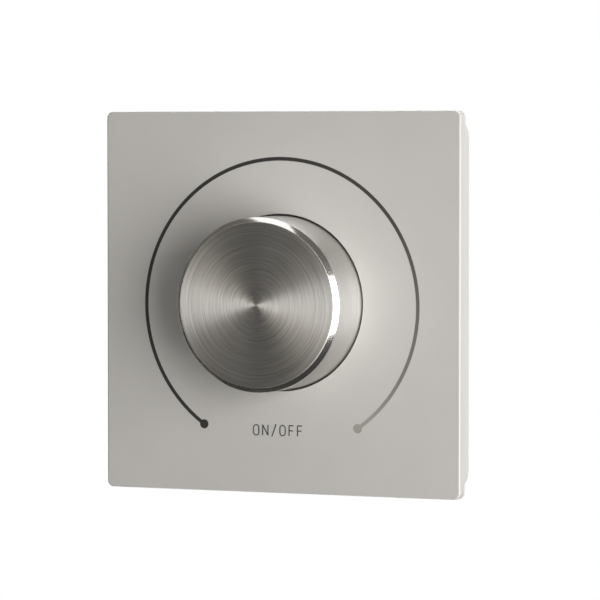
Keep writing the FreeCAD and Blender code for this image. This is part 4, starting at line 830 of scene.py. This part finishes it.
def floor_material():
    """A pale floor that looks almost white and still takes the part's shadow."""
    pale = Finish("pale_floor", roughness=0.8, Emission_Color=(1, 1, 1, 1))
    mottle = pale.noise(60 * MM)
    pale.colour(mottle, grey(238), grey(242))
    glow = pale.maths("MULTIPLY", seen_directly(pale.tree), FLOOR_GLOW)
    pale.link(glow, pale.shader.inputs["Emission Strength"])
    return pale.material


def studio_floor():
    """A plain pale floor well below the part, which hangs where a wall would carry it."""
    rim = arc_points((0, 0), FLOOR_REACH, 0, 2 * math.pi, FLOOR_STEPS)[:-1]
    stage_card("floor", [(x, y, FLOOR_LEVEL) for x, y in rim], floor_material())


def studio_world():
    """White behind the part, and an even dim fill on it."""
    world = bpy.data.worlds.new("studio")
    bpy.context.scene.world = world
    tree = node_group(world)
    tree.nodes.clear()
    output = tree.nodes.new("ShaderNodeOutputWorld")
    seen = tree.nodes.new("ShaderNodeBackground")
    seen.inputs["Color"].default_value = (1, 1, 1, 1)
    seen.inputs["Strength"].default_value = 1
    fill = tree.nodes.new("ShaderNodeBackground")
    fill.inputs["Color"].default_value = (*FILL_COLOUR, 1)
    fill.inputs["Strength"].default_value = WORLD_FILL
    mix = tree.nodes.new("ShaderNodeMixShader")
    tree.links.new(seen_directly(tree), mix.inputs["Fac"])
    tree.links.new(fill.outputs[0], mix.inputs[1])
    tree.links.new(seen.outputs[0], mix.inputs[2])
    tree.links.new(mix.outputs[0], output.inputs["Surface"])


def facing_card(name, direction, distance, width, height, brightness):
    """A card whose front looks at the part from the given direction."""
    towards = Vector(direction).normalized()
    across = towards.cross(Vector((0, 0, 1))).normalized() * width / 2
    up = across.cross(towards).normalized() * height / 2
    middle = towards * distance
    corners = [middle - across - up, middle + across - up,
               middle + across + up, middle - across + up]
    return stage_card(name, [tuple(corner) for corner in corners], card_material(name, brightness))


def studio_cards():
    """What only the metal sees: dim flags over, under and left of it, and three small cards."""
    far = FLAG_REACH
    gap = FLAG_GAP
    cards = []
    for name, level, brightness in (("flag_above", gap, 0.12), ("flag_below", -gap, 0.035)):
        corners = [(-far, -far, level), (far, -far, level), (far, far, level), (-far, far, level)]
        cards.append(stage_card(name, corners, card_material(name, brightness)))
    left = -1500 * MM
    near = -300 * MM
    corners = [(left, near, -gap), (left, far, -gap), (left, far, gap), (left, near, gap)]
    cards.append(stage_card("flag_left", corners, card_material("flag_left", 0.1)))
    cards.append(facing_card("card_low", direction=(0.30, -0.80, -0.50), distance=600 * MM,
                             width=340 * MM, height=400 * MM, brightness=1.9))
    cards.append(facing_card("card_high", direction=(0.28, -0.82, 0.48), distance=600 * MM,
                             width=220 * MM, height=200 * MM, brightness=1.1))
    cards.append(facing_card("card_under", direction=(-0.1, 0.5, -0.86), distance=300 * MM,
                             width=220 * MM, height=160 * MM, brightness=3.5))
    for card in cards:
        card.visible_camera = False
        card.visible_diffuse = False
        card.visible_shadow = False
        card.visible_transmission = False


def studio_lamps():
    """The main soft box at the right, small ones above and behind, and the bounce lamps."""
    soft_box("box_right", direction=(0.866, -0.5, -0.04), distance=750 * MM,
             width=700 * MM, height=680 * MM, strength=4.64, roll=8)
    soft_box("box_top", direction=(-0.17, -0.12, 0.97), distance=250 * MM,
             width=240 * MM, height=90 * MM, strength=1.25)
    soft_box("box_back", direction=(0.24, 0.33, 0.91), distance=300 * MM,
             width=200 * MM, height=200 * MM, strength=3.6)
    soft_box("box_rear", direction=(-0.5, 0.75, 0.43), distance=900 * MM,
             width=600 * MM, height=600 * MM, strength=3.6)
    bounce_lamp("bounce_above", place=(2 * MM, -22 * MM, 26 * MM),
                width=30 * MM, height=8 * MM, strength=0.45)
    bounce_lamp("bounce_beside", place=(27 * MM, -22 * MM, 3 * MM),
                width=8 * MM, height=30 * MM, strength=0.26)


def studio_camera():
    """The camera of the photograph's view."""
    back = Vector((math.sin(AZIMUTH) * math.cos(ELEVATION),
                   -math.cos(AZIMUTH) * math.cos(ELEVATION),
                   math.sin(ELEVATION)))
    data = bpy.data.cameras.new("camera")
    data.sensor_width = SENSOR_MM
    data.lens = FOCAL_PIXELS / IMAGE_PIXELS * SENSOR_MM
    data.clip_start = 50 * MM
    data.clip_end = 20000 * MM
    camera = bpy.data.objects.new("camera", data)
    bpy.context.scene.collection.objects.link(camera)
    look_at(camera, TARGET + back * DISTANCE, TARGET)
    bpy.context.scene.camera = camera


bpy.context.scene.view_settings.view_transform = "Standard"
finishes = materials_by_slot()
dress_nodes(finishes)
turned_knob()
scale_fill()
printed_words()
return_spring(finishes["spring_steel"])
studio_world()
studio_floor()
studio_cards()
studio_lamps()
studio_camera()
